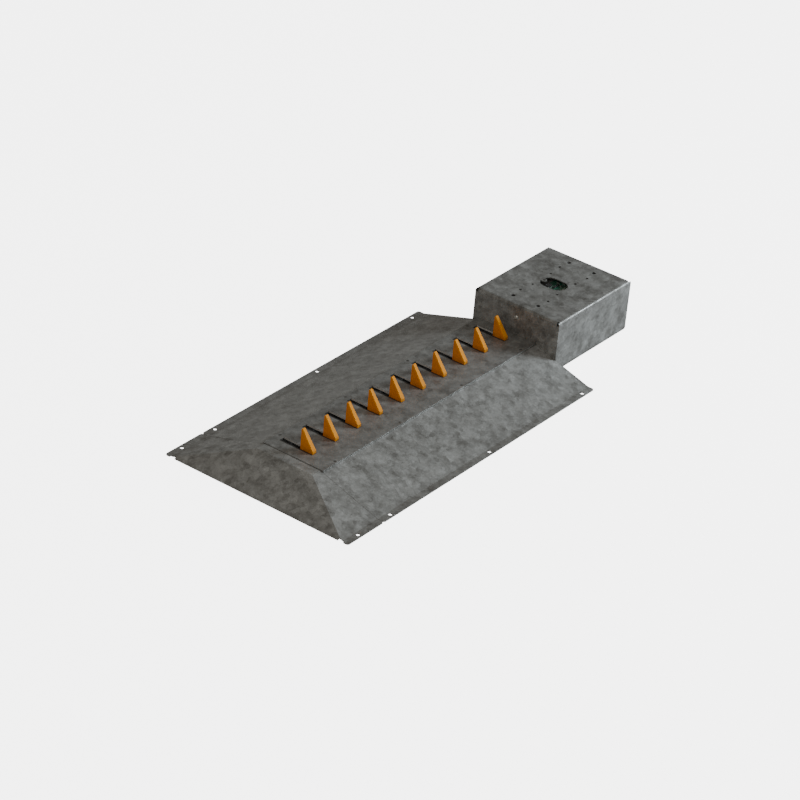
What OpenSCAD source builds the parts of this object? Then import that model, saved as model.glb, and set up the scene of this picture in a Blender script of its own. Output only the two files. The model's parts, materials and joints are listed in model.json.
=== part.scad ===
// Motorised tyre spike strip: a low steel ramp unit with a row of folding spikes,
// a hipped end piece and a drive housing at the other end.
// +X runs along the strip towards the drive housing, +Y is the side that the spikes fold to,
// +Z is up. The origin lies on the road, under the middle of the object.

/* [Strip] */
// Width over the anchor flanges
strip_w = 650; // [600:1:760]
// Thickness of the bent ramp sheets
sheet_t = 3; // [2:0.5:4]
// Width of the flat anchor flange along each side
flange_w = 22; // [20:1:30]
// Radius of the flanges' free corners
flange_corner_r = 8; // [3:1:10]
// Height of the frame's top, on which the ramp lips lie
frame_h = 61; // [57:1:68]
// Distance between the top bends of the two main ramps
ramp_top_w = 208; // [200:1:230]
// Width of the ramps' inturned lips
lip_w = 18; // [14:1:19]

/* [Deck plate] */
// Overhang of the deck plate past the ramps' top bends
deck_over = 3; // [1:0.5:6]
// Thickness of the deck plate
deck_t = 5; // [4:0.5:8]
// Clearance at each side of a spike in its slot
slot_gap = 1; // [0.8:0.1:2]
// Distance of the slots' far ends from the far ramp's top bend
slot_end_inset = 23; // [21:0.5:24]
// Clearance between a spike's front and its slot's near end
slot_front_gap = 1.5; // [1:0.5:4]
// Distance of the deck screws from the ramps' top bends
deck_screw_inset = 6; // [5:0.5:8]
// Distance of the outer deck screws from the deck's ends
deck_screw_margin = 63; // [40:1:80]

/* [End piece] */
// Length of the hipped end piece
end_l = 157; // [140:1:200]
// Length of its flat top
end_top_l = 34; // [28:1:50]
// Distance of its top bends inside those of the ramps
end_top_inset = 7; // [0:0.5:16]
// Depth of the relief notches at its foot
foot_notch_l = 6; // [4:1:12]
// Gap at the joint of the end piece and the main unit
seam_gap = 1; // [0.6:0.1:2]
// Length of flange cut away at each side of that joint
flange_setback = 0.5; // [0:0.5:8]

/* [Anchor holes] */
// Diameter of the anchor holes
anchor_d = 11; // [9:0.5:13]
// Distance of the anchor holes from the flange's outer edge
anchor_inset = 12; // [10.5:0.5:13]
// Distance of the end piece's anchor holes from its foot
anchor_end_x = 58; // [40:1:100]
// Distance of the outer anchor holes from the main unit's ends
anchor_margin = 43; // [30:1:80]

/* [Spikes] */
// Number of spikes
spike_count = 10; // [6:1:12]
// Distance between spikes
spike_pitch = 100; // [90:1:120]
// Distance of the first spike from the main unit's end
spike_lead = 53; // [45:1:70]
// Distance of the last spike from the drive housing
spike_trail = 47; // [45:1:70]
// Thickness of a spike
spike_t = 15; // [12:0.5:18]
// Height of the spikes' tips above the deck
spike_h = 64; // [56:1:65]
// Distance of the spikes' front from the shaft's axis
spike_front = 9; // [7:0.5:11]
// Length of a spike at the deck
spike_base_l = 44; // [40:0.5:46]
// Height of the upright heel at a spike's front
spike_heel_h = 8; // [4:0.5:10]
// Width of a spike's blunt tip
spike_tip_w = 7; // [6:0.5:10]
// Thickness of a spike at its tip
spike_tip_t = 10; // [8:0.5:12]
// Distance of the tip's back from the shaft's axis
spike_tip_back = 37; // [32:0.5:38]
// Radius of a spike's hub
spike_hub_r = 22; // [19:0.5:24]

/* [Spike shaft] */
// Distance of the shaft's axis from the slots' far ends
shaft_to_slot = 105; // [104:0.5:108]
// Distance of the shaft's axis below the frame's top
shaft_drop = 31; // [29:0.5:32]
// Diameter of the shaft
shaft_d = 25; // [20:1:28]
// Running clearance of the shaft in its bushes, on the radius
run_gap = 0.05; // [0.02:0.01:0.1]
// Angle that the spikes fold through
fold_deg = 57; // [50:1:60]
// Wall of the shaft bushes
bush_t = 3.5; // [2.5:0.5:5]
// Diameter of the pins that hold the spikes
spike_pin_d = 6; // [4:0.5:8]

/* [Frame] */
// Thickness of the rails' sheet
rail_t = 3; // [2:0.5:4]
// Distance of the rails' inner faces from the ramps' top bends
rail_inset = 19; // [18:0.5:20]
// Width of the rails' top flanges
rail_top_w = 18; // [17:0.5:18]
// Width of the rails' foot flanges
rail_foot_w = 30; // [20:1:40]
// Thickness of the cross ribs
rib_t = 6; // [4:0.5:10]
// Thickness of the gussets under the ramps
gusset_t = 5; // [3:0.5:8]
// Number of gussets under each ramp
gusset_count = 5; // [3:1:8]

/* [Gears] */
// Module of the teeth
gear_m = 2.5; // [2:0.25:3]
// Teeth of a full wheel of the sector's size
sector_z = 48; // [44:1:52]
// Teeth of the pinion
pinion_z = 17; // [17:1:20]
// Face width of the sector gear
sector_t = 15; // [10:1:18]
// Play between the teeth
gear_play = 0.3; // [0.1:0.05:0.5]
// Angle of the pinion about the spike shaft, from straight up towards the near side
pinion_deg = 40; // [36:1:44]
// Diameter of the gearbox's output shaft
output_d = 20; // [16:1:24]

/* [Drive housing] */
// Length of the housing
house_l = 373; // [360:1:420]
// Width of the housing
house_w = 306; // [300:1:340]
// Distance of the housing's middle from the spike shaft, towards the near side
house_shift = 4; // [0:0.5:12]
// Height of the housing's top above the frame's top
house_rise = 104; // [103:1:140]
// Outer radius of the cover's bends
bend_r = 8; // [5:0.5:10]
// Thickness of the cover and of the tray
house_t = 3; // [2:0.5:4]
// Clearance between the cover and what it fits over
cover_gap = 0.5; // [0.3:0.1:0.8]
// Width of the relief at each top corner of the end walls
relief_w = 7; // [4:1:10]
// Distance of the cover's fixing screws below its top
cover_screw_drop = 41; // [30:1:50]
// Length of the oblong opening in the cover's top
top_slot_l = 88; // [80:1:110]
// Width of that opening
top_slot_w = 62; // [40:1:66]
// Width of the earthing tab in that opening
tab_w = 17; // [14:1:20]
// Reach of the tab into the opening
tab_l = 17; // [14:1:26]
// Hole in the tab
tab_hole_d = 8; // [5:0.5:9]

/* [Post patterns] */
// Holes of the large post pattern
post_a_d = 13; // [10:0.5:14]
// Length of the large post pattern
post_a_l = 288; // [240:1:300]
// Width of the large post pattern
post_a_w = 91; // [80:1:100]
// Holes of the middle post pattern
post_b_d = 9; // [7:0.5:11]
// Length of the middle post pattern
post_b_l = 201; // [180:1:210]
// Width of the middle post pattern
post_b_w = 101; // [90:1:120]
// Holes of the small post pattern
post_c_d = 9; // [6:0.5:10]
// Length of the small post pattern
post_c_l = 94; // [90:1:110]
// Width of the small post pattern
post_c_w = 90; // [80:1:100]

/* [Drive] */
// Side of the square gearbox case
gearbox_s = 84; // [74:1:88]
// Length of the gearbox case
gearbox_l = 80; // [60:1:100]
// Diameter of the motor
motor_d = 80; // [70:1:84]
// Length of the motor
motor_l = 150; // [120:1:160]
// Length of the circuit board
board_l = 150; // [120:1:160]
// Width of the circuit board
board_w = 90; // [80:1:96]
// Distance of the circuit board's underside below the cover's top
board_drop = 17; // [15:0.5:18]
// Distance of the circuit board's middle from the housing's, towards the near side
board_shift = 17.5; // [10:0.5:20]

/* [Hidden] */
$fn = 48;
eps = 1;
fit_gap = 0.05;
main_l = spike_lead + (spike_count - 1) * spike_pitch + spike_trail;
cover_head_r = 7;
cover_dome_r = 9;
cover_head_h = cover_dome_r - sqrt(cover_dome_r * cover_dome_r - cover_head_r * cover_head_r);
// The head of the outer cover screw is the object's outermost point.
total_l = end_l + main_l + house_l + cover_head_h;
x_foot = -total_l / 2;
x_seam = x_foot + end_l;
x_house = x_seam + main_l;
x_end = x_house + house_l;
// The main unit runs on to the inner face of the housing's end wall.
x_tray = x_house + house_t;
tray_gap = 0.3;
x_main_0 = x_seam + seam_gap / 2;
x_main_1 = x_tray - tray_gap;

// Levels
house_h = frame_h + house_rise;
cover_screw_z = house_h - cover_screw_drop;
lip_z = frame_h + sheet_t;
deck_z = lip_z + deck_t;
end_z = lip_z + sheet_t;

// Places across the strip, all from the ramps' top bends
deck_w = ramp_top_w + 2 * deck_over;
deck_screw_y = ramp_top_w / 2 - deck_screw_inset;
end_top_w = ramp_top_w - 2 * end_top_inset;
rail_y = ramp_top_w / 2 - rail_inset;
slot_end_y = ramp_top_w / 2 - slot_end_inset;
shaft_y = slot_end_y - shaft_to_slot;
shaft_z = frame_h - shaft_drop;
house_y = shaft_y - house_shift;

// Ramp slopes, from the flange's bend to the top bend
half_w = strip_w / 2;
bend_y = half_w - flange_w;
main_slope = atan((lip_z - sheet_t) / (bend_y - ramp_top_w / 2));
main_k = sheet_t * tan(main_slope / 2);
side_slope = atan((end_z - sheet_t) / (bend_y - end_top_w / 2));
side_k = sheet_t * tan(side_slope / 2);
end_run = end_l - end_top_l - seam_gap / 2;
end_slope = atan((end_z - sheet_t) / end_run);
end_k = sheet_t * tan(end_slope / 2);

// Holes along the strip
anchor_pitch = (main_l - 2 * anchor_margin) / 2;
anchor_xs = [for (i = [0:2]) x_seam + anchor_margin + i * anchor_pitch];
anchor_y = half_w - anchor_inset;
deck_screw_n = 4;
deck_screw_pitch = (main_l - 2 * deck_screw_margin) / (deck_screw_n - 1);
deck_screw_xs = [for (i = [0:deck_screw_n - 1]) x_seam + deck_screw_margin + i * deck_screw_pitch];

// Spikes
function spike_x(i) = x_seam + spike_lead + (i - 1) * spike_pitch;
tip_z = deck_z + spike_h;
slot_w = spike_t + 2 * slot_gap;
spike_front_y = shaft_y - spike_front;
spike_tip_y = shaft_y + spike_tip_back;
slot_front_y = spike_front_y - slot_front_gap;

// Ribs: one at each end of the main unit and two between spikes
rib_in = 0.3;
rib_step = floor(spike_count / 3);
rib_xs = [
    x_main_0,
    (spike_x(rib_step) + spike_x(rib_step + 1) - rib_t) / 2,
    (spike_x(spike_count - rib_step) + spike_x(spike_count - rib_step + 1) - rib_t) / 2,
    x_tray - rib_t
];
gusset_pitch = (main_l - 2 * anchor_margin) / (gusset_count - 1);
gusset_in = 1;

// Shaft and bushes
shaft_r = shaft_d / 2;
bore_r = shaft_r + run_gap;
bush_r = bore_r + bush_t;
bush_flange_r = bush_r + 4;
bush_flange_t = 3;

// Stations of the drive along X, from the tray's front face
x_sector = x_tray + house_t + 10;
x_sector_hub = x_sector + sector_t;
sector_hub_l = 6;
x_pillow = x_sector_hub + sector_hub_l + 0.5;
pillow_t = 16;
x_plate = x_pillow + pillow_t + 2;
plate_t = 6;
x_gearbox = x_plate + plate_t;
x_motor = x_gearbox + gearbox_l;
motor_cap_l = 24;
motor_rib_inset = 18;
x_flag = x_pillow + pillow_t + 3;
flag_t = 8;
x_shaft_0 = x_main_0;
x_shaft_1 = x_flag + flag_t + 2;

// Gear pair
pressure_deg = 20;
sector_r = gear_m * sector_z / 2;
pinion_r = gear_m * pinion_z / 2;
centre_d = sector_r + pinion_r;
pinion_y = shaft_y - centre_d * sin(pinion_deg);
pinion_cz = shaft_z + centre_d * cos(pinion_deg);
gear_overlap_deg = 11;
output_r = output_d / 2;
output_depth = 20;
pinion_over = 1.5;
x_pinion = x_sector - pinion_over;
pinion_t = sector_t + 2 * pinion_over;

// Fasteners
m5_r = 2.5;
m8_r = 4;
hole_play = 0.5;
deck_head_r = 5;
deck_head_h = deck_head_r - m5_r;
head_sink = 0.2;
deck_nut_r = 5;
deck_nut_t = 4;
m8_head_r = 7.5;
m8_head_t = 5.3;
m8_cap_h = 6;
m8_nut_t = 6.5;

// Housing
cover_foot_z = 1;
house_y0 = house_y - house_w / 2;
house_y1 = house_y + house_w / 2;
house_cx = (x_house + x_end) / 2;
tray_y0 = house_y0 + house_t + cover_gap;
tray_y1 = house_y1 - house_t - cover_gap;
tray_x1 = x_end - house_t;
tray_lip_h = 25;
tongue_w = 50;
tongue_over = 16;
tongue_top = cover_screw_z + tongue_over;
tray_front_h = frame_h - 3;
cover_chamfer = 5;
relief_h = 12;
gland_inset = 63;
gland_x = x_end - gland_inset;
gland_z = 22;
gland_plate_w = 40;
gland_plate_over = 18;
gland_r = 10;
gland_bore_r = 5;

// Board bracket and board
bracket_t = 2;
standoff_h = 8;
board_z = house_h - board_drop;
bracket_z = board_z - standoff_h;
bracket_side = 26;
bracket_y0 = pinion_y - motor_d / 2 - bracket_side;
bracket_y1 = pinion_y + motor_d / 2 + gearbox_s + 2;
bracket_foot = 16;
board_side = 4;
board_cx = house_cx + board_side;
board_y0 = house_y - board_shift - board_w / 2;
board_t = 1.6;
board_inset = 6;
standoff_r = 4;

function spike_name(i) = str("spike_", i < 10 ? "0" : "", i);

FIXED = [
    "ramp_near", "ramp_far", "gussets_near", "gussets_far", "deck_plate", "deck_screws", "deck_nuts",
    "end_ramp", "end_ribs", "end_bolts", "end_nuts", "rail_near", "rail_far",
    "rib_1", "rib_2", "rib_3", "rib_4", "shaft_bushes",
    "housing_tray", "housing_cover", "cover_screws", "cover_nuts", "joint_bolts", "joint_nuts",
    "pillow_block", "pillow_bush", "pillow_bolts", "drive_bracket", "bracket_bolts",
    "gearbox", "gearbox_screws", "motor", "motor_cap", "sensor_bracket", "position_sensors",
    "board_bracket", "board_standoffs", "circuit_board", "board_parts", "transformer", "cable_gland"
];
TURNING = ["spike_shaft", "spike_pins", "shaft_collar", "sector_gear", "gear_key", "position_flag"];
GEARED = ["output_shaft", "pinion", "pinion_pin"];

// An outline drawn as (Y, Z), swept along X
module along_x(x, l) {
    translate([x, 0, 0])
        rotate([90, 0, 90])
            linear_extrude(l)
                children();
}

// An outline drawn as (X, Z), swept along +Y from y
module along_y(y, l) {
    translate([0, y + l, 0])
        rotate([90, 0, 0])
            linear_extrude(l)
                children();
}

// A round bar along X about the line (y, z)
module bar_x(x, l, r, y, z) {
    translate([x, y, z])
        rotate([0, 90, 0])
            cylinder(h = l, r = r);
}

// A hexagon bar along X, given half its width across flats
module hex_x(x, l, r, y, z) {
    translate([x, y, z])
        rotate([0, 90, 0])
            cylinder(h = l, r = r / cos(30), $fn = 6);
}

// Anchor flange with its two free corners rounded, on the near side
module flange(x0, x1) {
    l = x1 - x0;
    r = flange_corner_r;
    translate([x0, -half_w, 0])
        linear_extrude(sheet_t)
            union() {
                translate([r, 0])
                    square([l - 2 * r, flange_w]);
                translate([0, r])
                    square([l, flange_w - r]);
                translate([r, r])
                    circle(r);
                translate([l - r, r])
                    circle(r);
            }
}

module anchor_hole(x) {
    translate([x, -anchor_y, -eps])
        cylinder(h = sheet_t + 2 * eps, d = anchor_d);
}

// Near main ramp: flange, slope and inturned lip, bent from one sheet
module ramp() {
    lip_y = ramp_top_w / 2 - lip_w;
    difference() {
        union() {
            flange(x_seam + flange_setback, x_main_1);
            along_x(x_main_0, x_main_1 - x_main_0)
                polygon([
                    [-bend_y, 0],
                    [-bend_y, sheet_t],
                    [-ramp_top_w / 2, lip_z],
                    [-lip_y, lip_z],
                    [-lip_y, frame_h],
                    [-ramp_top_w / 2 + main_k, frame_h],
                    [-bend_y + main_k, 0]
                ]);
        }
        for (x = anchor_xs)
            anchor_hole(x);
        for (x = deck_screw_xs)
            translate([x, -deck_screw_y, frame_h - eps])
                cylinder(h = sheet_t + 2 * eps, r = m5_r + hole_play);
    }
}

module ramp_near() {
    color("#8d9494")
        ramp();
}

module ramp_far() {
    color("#5f5b54")
        mirror([0, 1, 0])
            ramp();
}

// Triangular gussets that carry the near ramp's slope
module gussets() {
    y0 = rail_y + rail_foot_w + gusset_in;
    y1 = bend_y - 12;
    function under_z(y) = (bend_y - main_k - y) * tan(main_slope);
    for (i = [0:gusset_count - 1])
        along_x(x_seam + anchor_margin + i * gusset_pitch - gusset_t / 2, gusset_t)
            polygon([[-y0, 0], [-y0, under_z(y0)], [-y1, under_z(y1)], [-y1, 0]]);
}

module gussets_near() {
    color("#7c7f80")
        gussets();
}

module gussets_far() {
    color("#7c7f80")
        mirror([0, 1, 0])
            gussets();
}

module deck_plate() {
    color("#6a6c69")
        difference() {
            translate([x_main_0, -deck_w / 2, lip_z])
                cube([x_main_1 - x_main_0, deck_w, deck_t]);
            for (i = [1:spike_count])
                translate([spike_x(i) - slot_w / 2, slot_front_y, lip_z - eps])
                    cube([slot_w, slot_end_y - slot_front_y, deck_t + 2 * eps]);
            for (x = deck_screw_xs, s = [-1, 1])
                translate([x, s * deck_screw_y, 0]) {
                    translate([0, 0, lip_z - eps])
                        cylinder(h = deck_t + 2 * eps, r = m5_r + hole_play);
                    translate([0, 0, deck_z - deck_head_h - head_sink])
                        cylinder(
                            h = deck_head_h + head_sink + eps,
                            r1 = m5_r + fit_gap,
                            r2 = deck_head_r + head_sink + fit_gap + eps
                        );
                }
        }
}

// Countersunk screws through deck, lip and rail into nuts under the rail
module deck_screws() {
    end_z0 = frame_h - rail_t - deck_nut_t - 1;
    head_z = deck_z - head_sink - deck_head_h;
    color("#3c3d3d")
        for (x = deck_screw_xs, s = [-1, 1])
            translate([x, s * deck_screw_y, 0])
                difference() {
                    union() {
                        translate([0, 0, end_z0])
                            cylinder(h = head_z - end_z0, r = m5_r);
                        translate([0, 0, head_z])
                            cylinder(h = deck_head_h, r1 = m5_r, r2 = deck_head_r);
                    }
                    translate([0, 0, head_z + 1])
                        cylinder(h = deck_head_h, r = 1.7, $fn = 6);
                }
}

module deck_nuts() {
    z0 = frame_h - rail_t - deck_nut_t;
    color("#8c8c8a")
        for (x = deck_screw_xs, s = [-1, 1])
            translate([x, s * deck_screw_y, z0])
                difference() {
                    cylinder(h = deck_nut_t, r = deck_nut_r - 0.5, $fn = 6);
                    translate([0, 0, -eps])
                        cylinder(h = deck_nut_t + 2 * eps, r = m5_r + fit_gap);
                }
}

// Solid between the road and a hipped surface, given by its two outlines
module hip_solid(side, ends) {
    intersection() {
        along_x(x_foot - 2 * eps, end_l + 4 * eps)
            polygon(side);
        along_y(-half_w, strip_w)
            polygon(ends);
    }
}

// Hipped end piece, folded from one sheet
module end_ramp() {
    x_joint = x_seam - seam_gap / 2;
    top_x = x_foot + end_run;
    ty = end_top_w / 2;
    iy = bend_y - side_k;
    it = ty - side_k;
    ix = top_x + end_k;
    iz = end_z - sheet_t;
    color("#57534c")
        difference() {
            union() {
                for (m = [0, 1])
                    mirror([0, m, 0])
                        flange(x_foot, x_seam - flange_setback);
                difference() {
                    hip_solid(
                        [[-bend_y, 0], [-bend_y, sheet_t], [-ty, end_z], [ty, end_z], [bend_y, sheet_t], [bend_y, 0]],
                        [[x_foot, 0], [x_foot, sheet_t], [top_x, end_z], [x_joint, end_z], [x_joint, 0]]
                    );
                    hip_solid(
                        [[-iy, -eps], [-iy, 0], [-it, iz], [it, iz], [iy, 0], [iy, -eps]],
                        [[ix - iz / tan(end_slope), -eps], [ix - iz / tan(end_slope), 0], [ix, iz],
                         [x_joint + eps, iz], [x_joint + eps, -eps]]
                    );
                }
            }
            for (m = [0, 1])
                mirror([0, m, 0]) {
                    anchor_hole(x_foot + anchor_end_x);
                    translate([x_foot - eps, -bend_y - 5, -eps])
                        cube([foot_notch_l + eps, 18, frame_h]);
                }
        }
}

// Full-width ribs inside the end piece
module end_ribs() {
    t = rib_t;
    gap = 0.2;
    zt = end_z - sheet_t;
    yt = end_top_w / 2 - side_k;
    yb = bend_y - side_k - gap / sin(side_slope);
    foot_cut = 14;
    foot_y = yb - foot_cut;
    foot_z = foot_cut * tan(side_slope);
    x_joint = x_seam - seam_gap / 2;
    color("#7c7f80")
        difference() {
            for (x = [x_foot + end_run + 4, x_joint - t])
                along_x(x, t)
                    polygon([[-foot_y, 0], [-foot_y, foot_z], [-yt, zt], [yt, zt], [foot_y, foot_z], [foot_y, 0]]);
            for (p = end_bolt_yz)
                bar_x(x_joint - t - eps, t + 2 * eps, m8_r + hole_play, p[0], p[1]);
        }
}

bolt_inset = 15;
bolt_y = rail_y - bolt_inset;
joint_bolt_yz = [for (z = [frame_h - 17, 16], side = [-1, 1]) [side * bolt_y, z]];
end_bolt_yz = joint_bolt_yz;

// Bolts along X, each a head and a shank
module bolts_x(x, grip, places, stick = 8) {
    for (p = places)
        union() {
            hex_x(x - m8_head_t, m8_head_t, m8_head_r - 1, p[0], p[1]);
            bar_x(x - 0.1, grip + stick, m8_r, p[0], p[1]);
        }
}

module nuts_x(x, places) {
    for (p = places)
        difference() {
            hex_x(x, m8_nut_t, m8_head_r - 1, p[0], p[1]);
            bar_x(x - eps, m8_nut_t + 2 * eps, m8_r + fit_gap, p[0], p[1]);
        }
}

end_bolt_grip = 2 * rib_t + seam_gap;

module end_bolts() {
    color("#8c8c8a")
        bolts_x(x_seam - seam_gap / 2 - rib_t, end_bolt_grip, end_bolt_yz);
}

module end_nuts() {
    color("#8c8c8a")
        nuts_x(x_main_0 + rib_t, end_bolt_yz);
}

// Near rail: a channel with its flanges turned outwards
module rail() {
    y0 = rail_y;
    y1 = rail_y + rail_top_w;
    y2 = rail_y + rail_foot_w;
    difference() {
        along_x(x_main_0, x_tray - x_main_0)
            polygon([
                [-y0, 0],
                [-y0, frame_h],
                [-y1, frame_h],
                [-y1, frame_h - rail_t],
                [-y0 - rail_t, frame_h - rail_t],
                [-y0 - rail_t, rail_t],
                [-y2, rail_t],
                [-y2, 0]
            ]);
        for (x = deck_screw_xs)
            translate([x, -deck_screw_y, frame_h - rail_t - eps])
                cylinder(h = rail_t + 2 * eps, r = m5_r + hole_play);
    }
}

module rail_near() {
    color("#7c7f80")
        rail();
}

module rail_far() {
    color("#7c7f80")
        mirror([0, 1, 0])
            rail();
}

// Cross rib with the shaft's bush hole, carrying the deck
module rib(i, bolts = []) {
    w = 2 * (rail_y - rib_in);
    color("#7c7f80")
        difference() {
            translate([rib_xs[i], -w / 2, 0])
                cube([rib_t, w, lip_z]);
            bar_x(rib_xs[i] - eps, rib_t + 2 * eps, bush_r + fit_gap, shaft_y, shaft_z);
            for (p = bolts)
                bar_x(rib_xs[i] - eps, rib_t + 2 * eps, m8_r + hole_play, p[0], p[1]);
        }
}

// Flanged plain bushes; the last one's flange also faces the spikes
module bush(x, dir) {
    difference() {
        union() {
            bar_x(x, rib_t, bush_r, shaft_y, shaft_z);
            bar_x(dir > 0 ? x + rib_t : x - bush_flange_t, bush_flange_t, bush_flange_r, shaft_y, shaft_z);
        }
        bar_x(x - bush_flange_t - eps, rib_t + 2 * bush_flange_t + 2 * eps, bore_r, shaft_y, shaft_z);
    }
}

module shaft_bushes() {
    color("#b5803a")
        for (i = [0:3])
            bush(rib_xs[i], i < 3 ? 1 : -1);
}

// Outline of a housing with rounded top corners, (0, 0) at its lower left
module rounded_top(w, h, r) {
    square([w, h - r]);
    translate([r, 0])
        square([w - 2 * r, h]);
    translate([r, h - r])
        circle(r);
    translate([w - r, h - r])
        circle(r);
}

module bent_sheet(w, h, r, t) {
    difference() {
        rounded_top(w, h, r);
        translate([t, -eps])
            rounded_top(w - 2 * t, h - t + eps, r - t);
    }
}

// What the main unit fills at the housing's end wall, with clearance g
module ramp_envelope(g) {
    polygon([
        [-half_w - g, -eps], [-half_w - g, sheet_t + g], [-bend_y, sheet_t + g],
        [-deck_w / 2 - g, lip_z - g], [-deck_w / 2 - g, deck_z + g],
        [deck_w / 2 + g, deck_z + g], [deck_w / 2 + g, lip_z - g],
        [bend_y, sheet_t + g], [half_w + g, sheet_t + g], [half_w + g, -eps]
    ]);
}

module hole_pattern(l, w, d) {
    for (sx = [-1, 1], sy = [-1, 1])
        translate([house_cx + sx * l / 2, house_y + sy * w / 2, house_h - house_t - eps])
            cylinder(h = house_t + 2 * eps, d = d);
}

// Oblong opening, long across the strip
module oblong(l, w) {
    square([w, l - w], center = true);
    for (s = [-1, 1])
        translate([0, s * (l - w) / 2])
            circle(w / 2);
}

module housing_cover() {
    h = house_h - cover_foot_z;
    hh = h - relief_h;
    wall_y0 = house_y0 + house_t;
    wall_w = house_w - 2 * house_t;
    flap_y0 = wall_y0 + relief_w;
    flap_w = wall_w - 2 * relief_w;
    tab_r = tab_w / 2;
    slot_y1 = house_y + top_slot_l / 2;
    color("#7a7a78")
        difference() {
            union() {
                // Top and long walls
                difference() {
                    along_x(x_house, house_l)
                        translate([house_y0, cover_foot_z])
                            bent_sheet(house_w, h, bend_r, house_t);
                    for (x = [x_house - eps, x_end - bend_r])
                        translate([x, wall_y0, house_h - bend_r])
                            cube([bend_r + eps, wall_w, bend_r + eps]);
                }
                // End walls, bent down from the top, narrower at their top corners
                along_y(flap_y0, flap_w)
                    translate([x_house, cover_foot_z])
                        bent_sheet(house_l, h, bend_r, house_t);
                for (x = [x_house, x_end - house_t])
                    translate([x, wall_y0, cover_foot_z])
                        cube([house_t, wall_w, hh]);
            }
            // Opening and holes in the top
            difference() {
                translate([house_cx, house_y, house_h - house_t - eps])
                    linear_extrude(house_t + 2 * eps)
                        oblong(top_slot_l, top_slot_w);
                translate([house_cx, slot_y1 - tab_l + tab_r, house_h - house_t - 2 * eps])
                    difference() {
                        union() {
                            cylinder(h = house_t + 4 * eps, r = tab_r);
                            translate([-tab_r, 0, 0])
                                cube([tab_w, tab_l, house_t + 4 * eps]);
                        }
                        cylinder(h = house_t + 4 * eps, d = tab_hole_d);
                    }
            }
            hole_pattern(post_a_l, post_a_w, post_a_d);
            hole_pattern(post_b_l, post_b_w, post_b_d);
            hole_pattern(post_c_l, post_c_w, post_c_d);
            // Cut-out over the main unit
            along_x(x_house - eps, house_t + 2 * eps)
                ramp_envelope(cover_gap);
            // Screw holes of the end walls
            for (x = [x_house, x_end - house_t])
                bar_x(x - eps, house_t + 2 * eps, m8_r + hole_play, house_y, cover_screw_z);
            // Notch over the cable gland
            translate([gland_x - gland_r - 1, house_y1 - house_t - eps, 0])
                cube([2 * gland_r + 2, house_t + 2 * eps, gland_z]);
            translate([gland_x, house_y1 + eps, gland_z])
                rotate([90, 0, 0])
                    cylinder(h = house_t + 2 * eps, r = gland_r + 1);
            // Chamfered lower corners at the outer end
            for (y = [house_y0 - eps, house_y1 - house_t - eps])
                along_y(y, house_t + 2 * eps)
                    polygon([
                        [x_end + eps, 0], [x_end + eps, cover_foot_z + cover_chamfer + eps],
                        [x_end - cover_chamfer - eps, 0]
                    ]);
        }
}

// Floor tray of the housing, with lips inside the cover's walls
module housing_tray() {
    l = tray_x1 - x_tray;
    w = tray_y1 - tray_y0;
    front_w = 2 * (rail_y - rib_in);
    tongue_y = house_y - tongue_w / 2;
    color("#7c7f80")
        difference() {
            union() {
                translate([x_tray, tray_y0, 0])
                    cube([l, w, house_t]);
                for (y = [tray_y0, tray_y1 - house_t])
                    translate([x_tray, y, 0])
                        cube([l, house_t, tray_lip_h]);
                translate([tray_x1 - house_t, tray_y0, 0])
                    cube([house_t, w, tray_lip_h]);
                translate([x_tray, -front_w / 2, 0])
                    cube([house_t, front_w, tray_front_h]);
                for (x = [x_tray, tray_x1 - house_t])
                    translate([x, tongue_y, 0])
                        cube([house_t, tongue_w, tongue_top]);
                translate([gland_x - gland_plate_w / 2, tray_y1 - house_t, 0])
                    cube([gland_plate_w, house_t, gland_z + gland_plate_over]);
            }
            bar_x(x_tray - eps, house_t + 2 * eps, shaft_r + 3, shaft_y, shaft_z);
            for (p = joint_bolt_yz)
                bar_x(x_tray - eps, house_t + 2 * eps, m8_r + hole_play, p[0], p[1]);
            for (x = [x_tray, tray_x1 - house_t])
                bar_x(x - eps, house_t + 2 * eps, m8_r + hole_play, house_y, cover_screw_z);
            translate([gland_x, tray_y1 + eps, gland_z])
                rotate([90, 0, 0])
                    cylinder(h = house_t + 2 * eps, r = gland_thread_r + fit_gap);
        }
}

// Domed screws through the cover's end walls
module cover_screws() {
    color("#b9bab8")
        for (side = [0, 1])
            translate([side ? x_end : x_house, house_y, cover_screw_z])
                rotate([0, side ? -90 : 90, 0]) {
                    cylinder(h = 2 * house_t + 8, r = m8_r);
                    difference() {
                        intersection() {
                            translate([0, 0, cover_dome_r - cover_head_h])
                                sphere(cover_dome_r);
                            translate([0, 0, -cover_head_h])
                                cylinder(h = cover_head_h, r = cover_head_r);
                        }
                        translate([0, 0, -cover_head_h - eps])
                            cylinder(h = eps + 2, r = 2.4, $fn = 6);
                    }
                }
}

module cover_nuts() {
    color("#8c8c8a") {
        nuts_x(x_tray + house_t, [[house_y, cover_screw_z]]);
        nuts_x(tray_x1 - house_t - m8_nut_t, [[house_y, cover_screw_z]]);
    }
}

module joint_bolts() {
    color("#8c8c8a")
        bolts_x(x_tray - rib_t, rib_t + house_t, joint_bolt_yz, m8_nut_t + 1);
}

module joint_nuts() {
    color("#8c8c8a")
        nuts_x(x_tray + house_t, joint_bolt_yz);
}

// Spike shaft with pin holes and a keyway for the sector gear
module spike_shaft() {
    color("#9a9c9c")
        difference() {
            bar_x(x_shaft_0, x_shaft_1 - x_shaft_0, shaft_r, shaft_y, shaft_z);
            for (i = [1:spike_count])
                spike_pin_bar(i, spike_pin_d / 2 + fit_gap, 2 * eps);
            key_bar(fit_gap);
        }
}

module spike_pin_bar(i, r, extra) {
    translate([spike_x(i), shaft_y - spike_hub_r - extra, shaft_z])
        rotate([-90, 0, 0])
            cylinder(h = 2 * spike_hub_r + 2 * extra, r = r);
}

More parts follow.
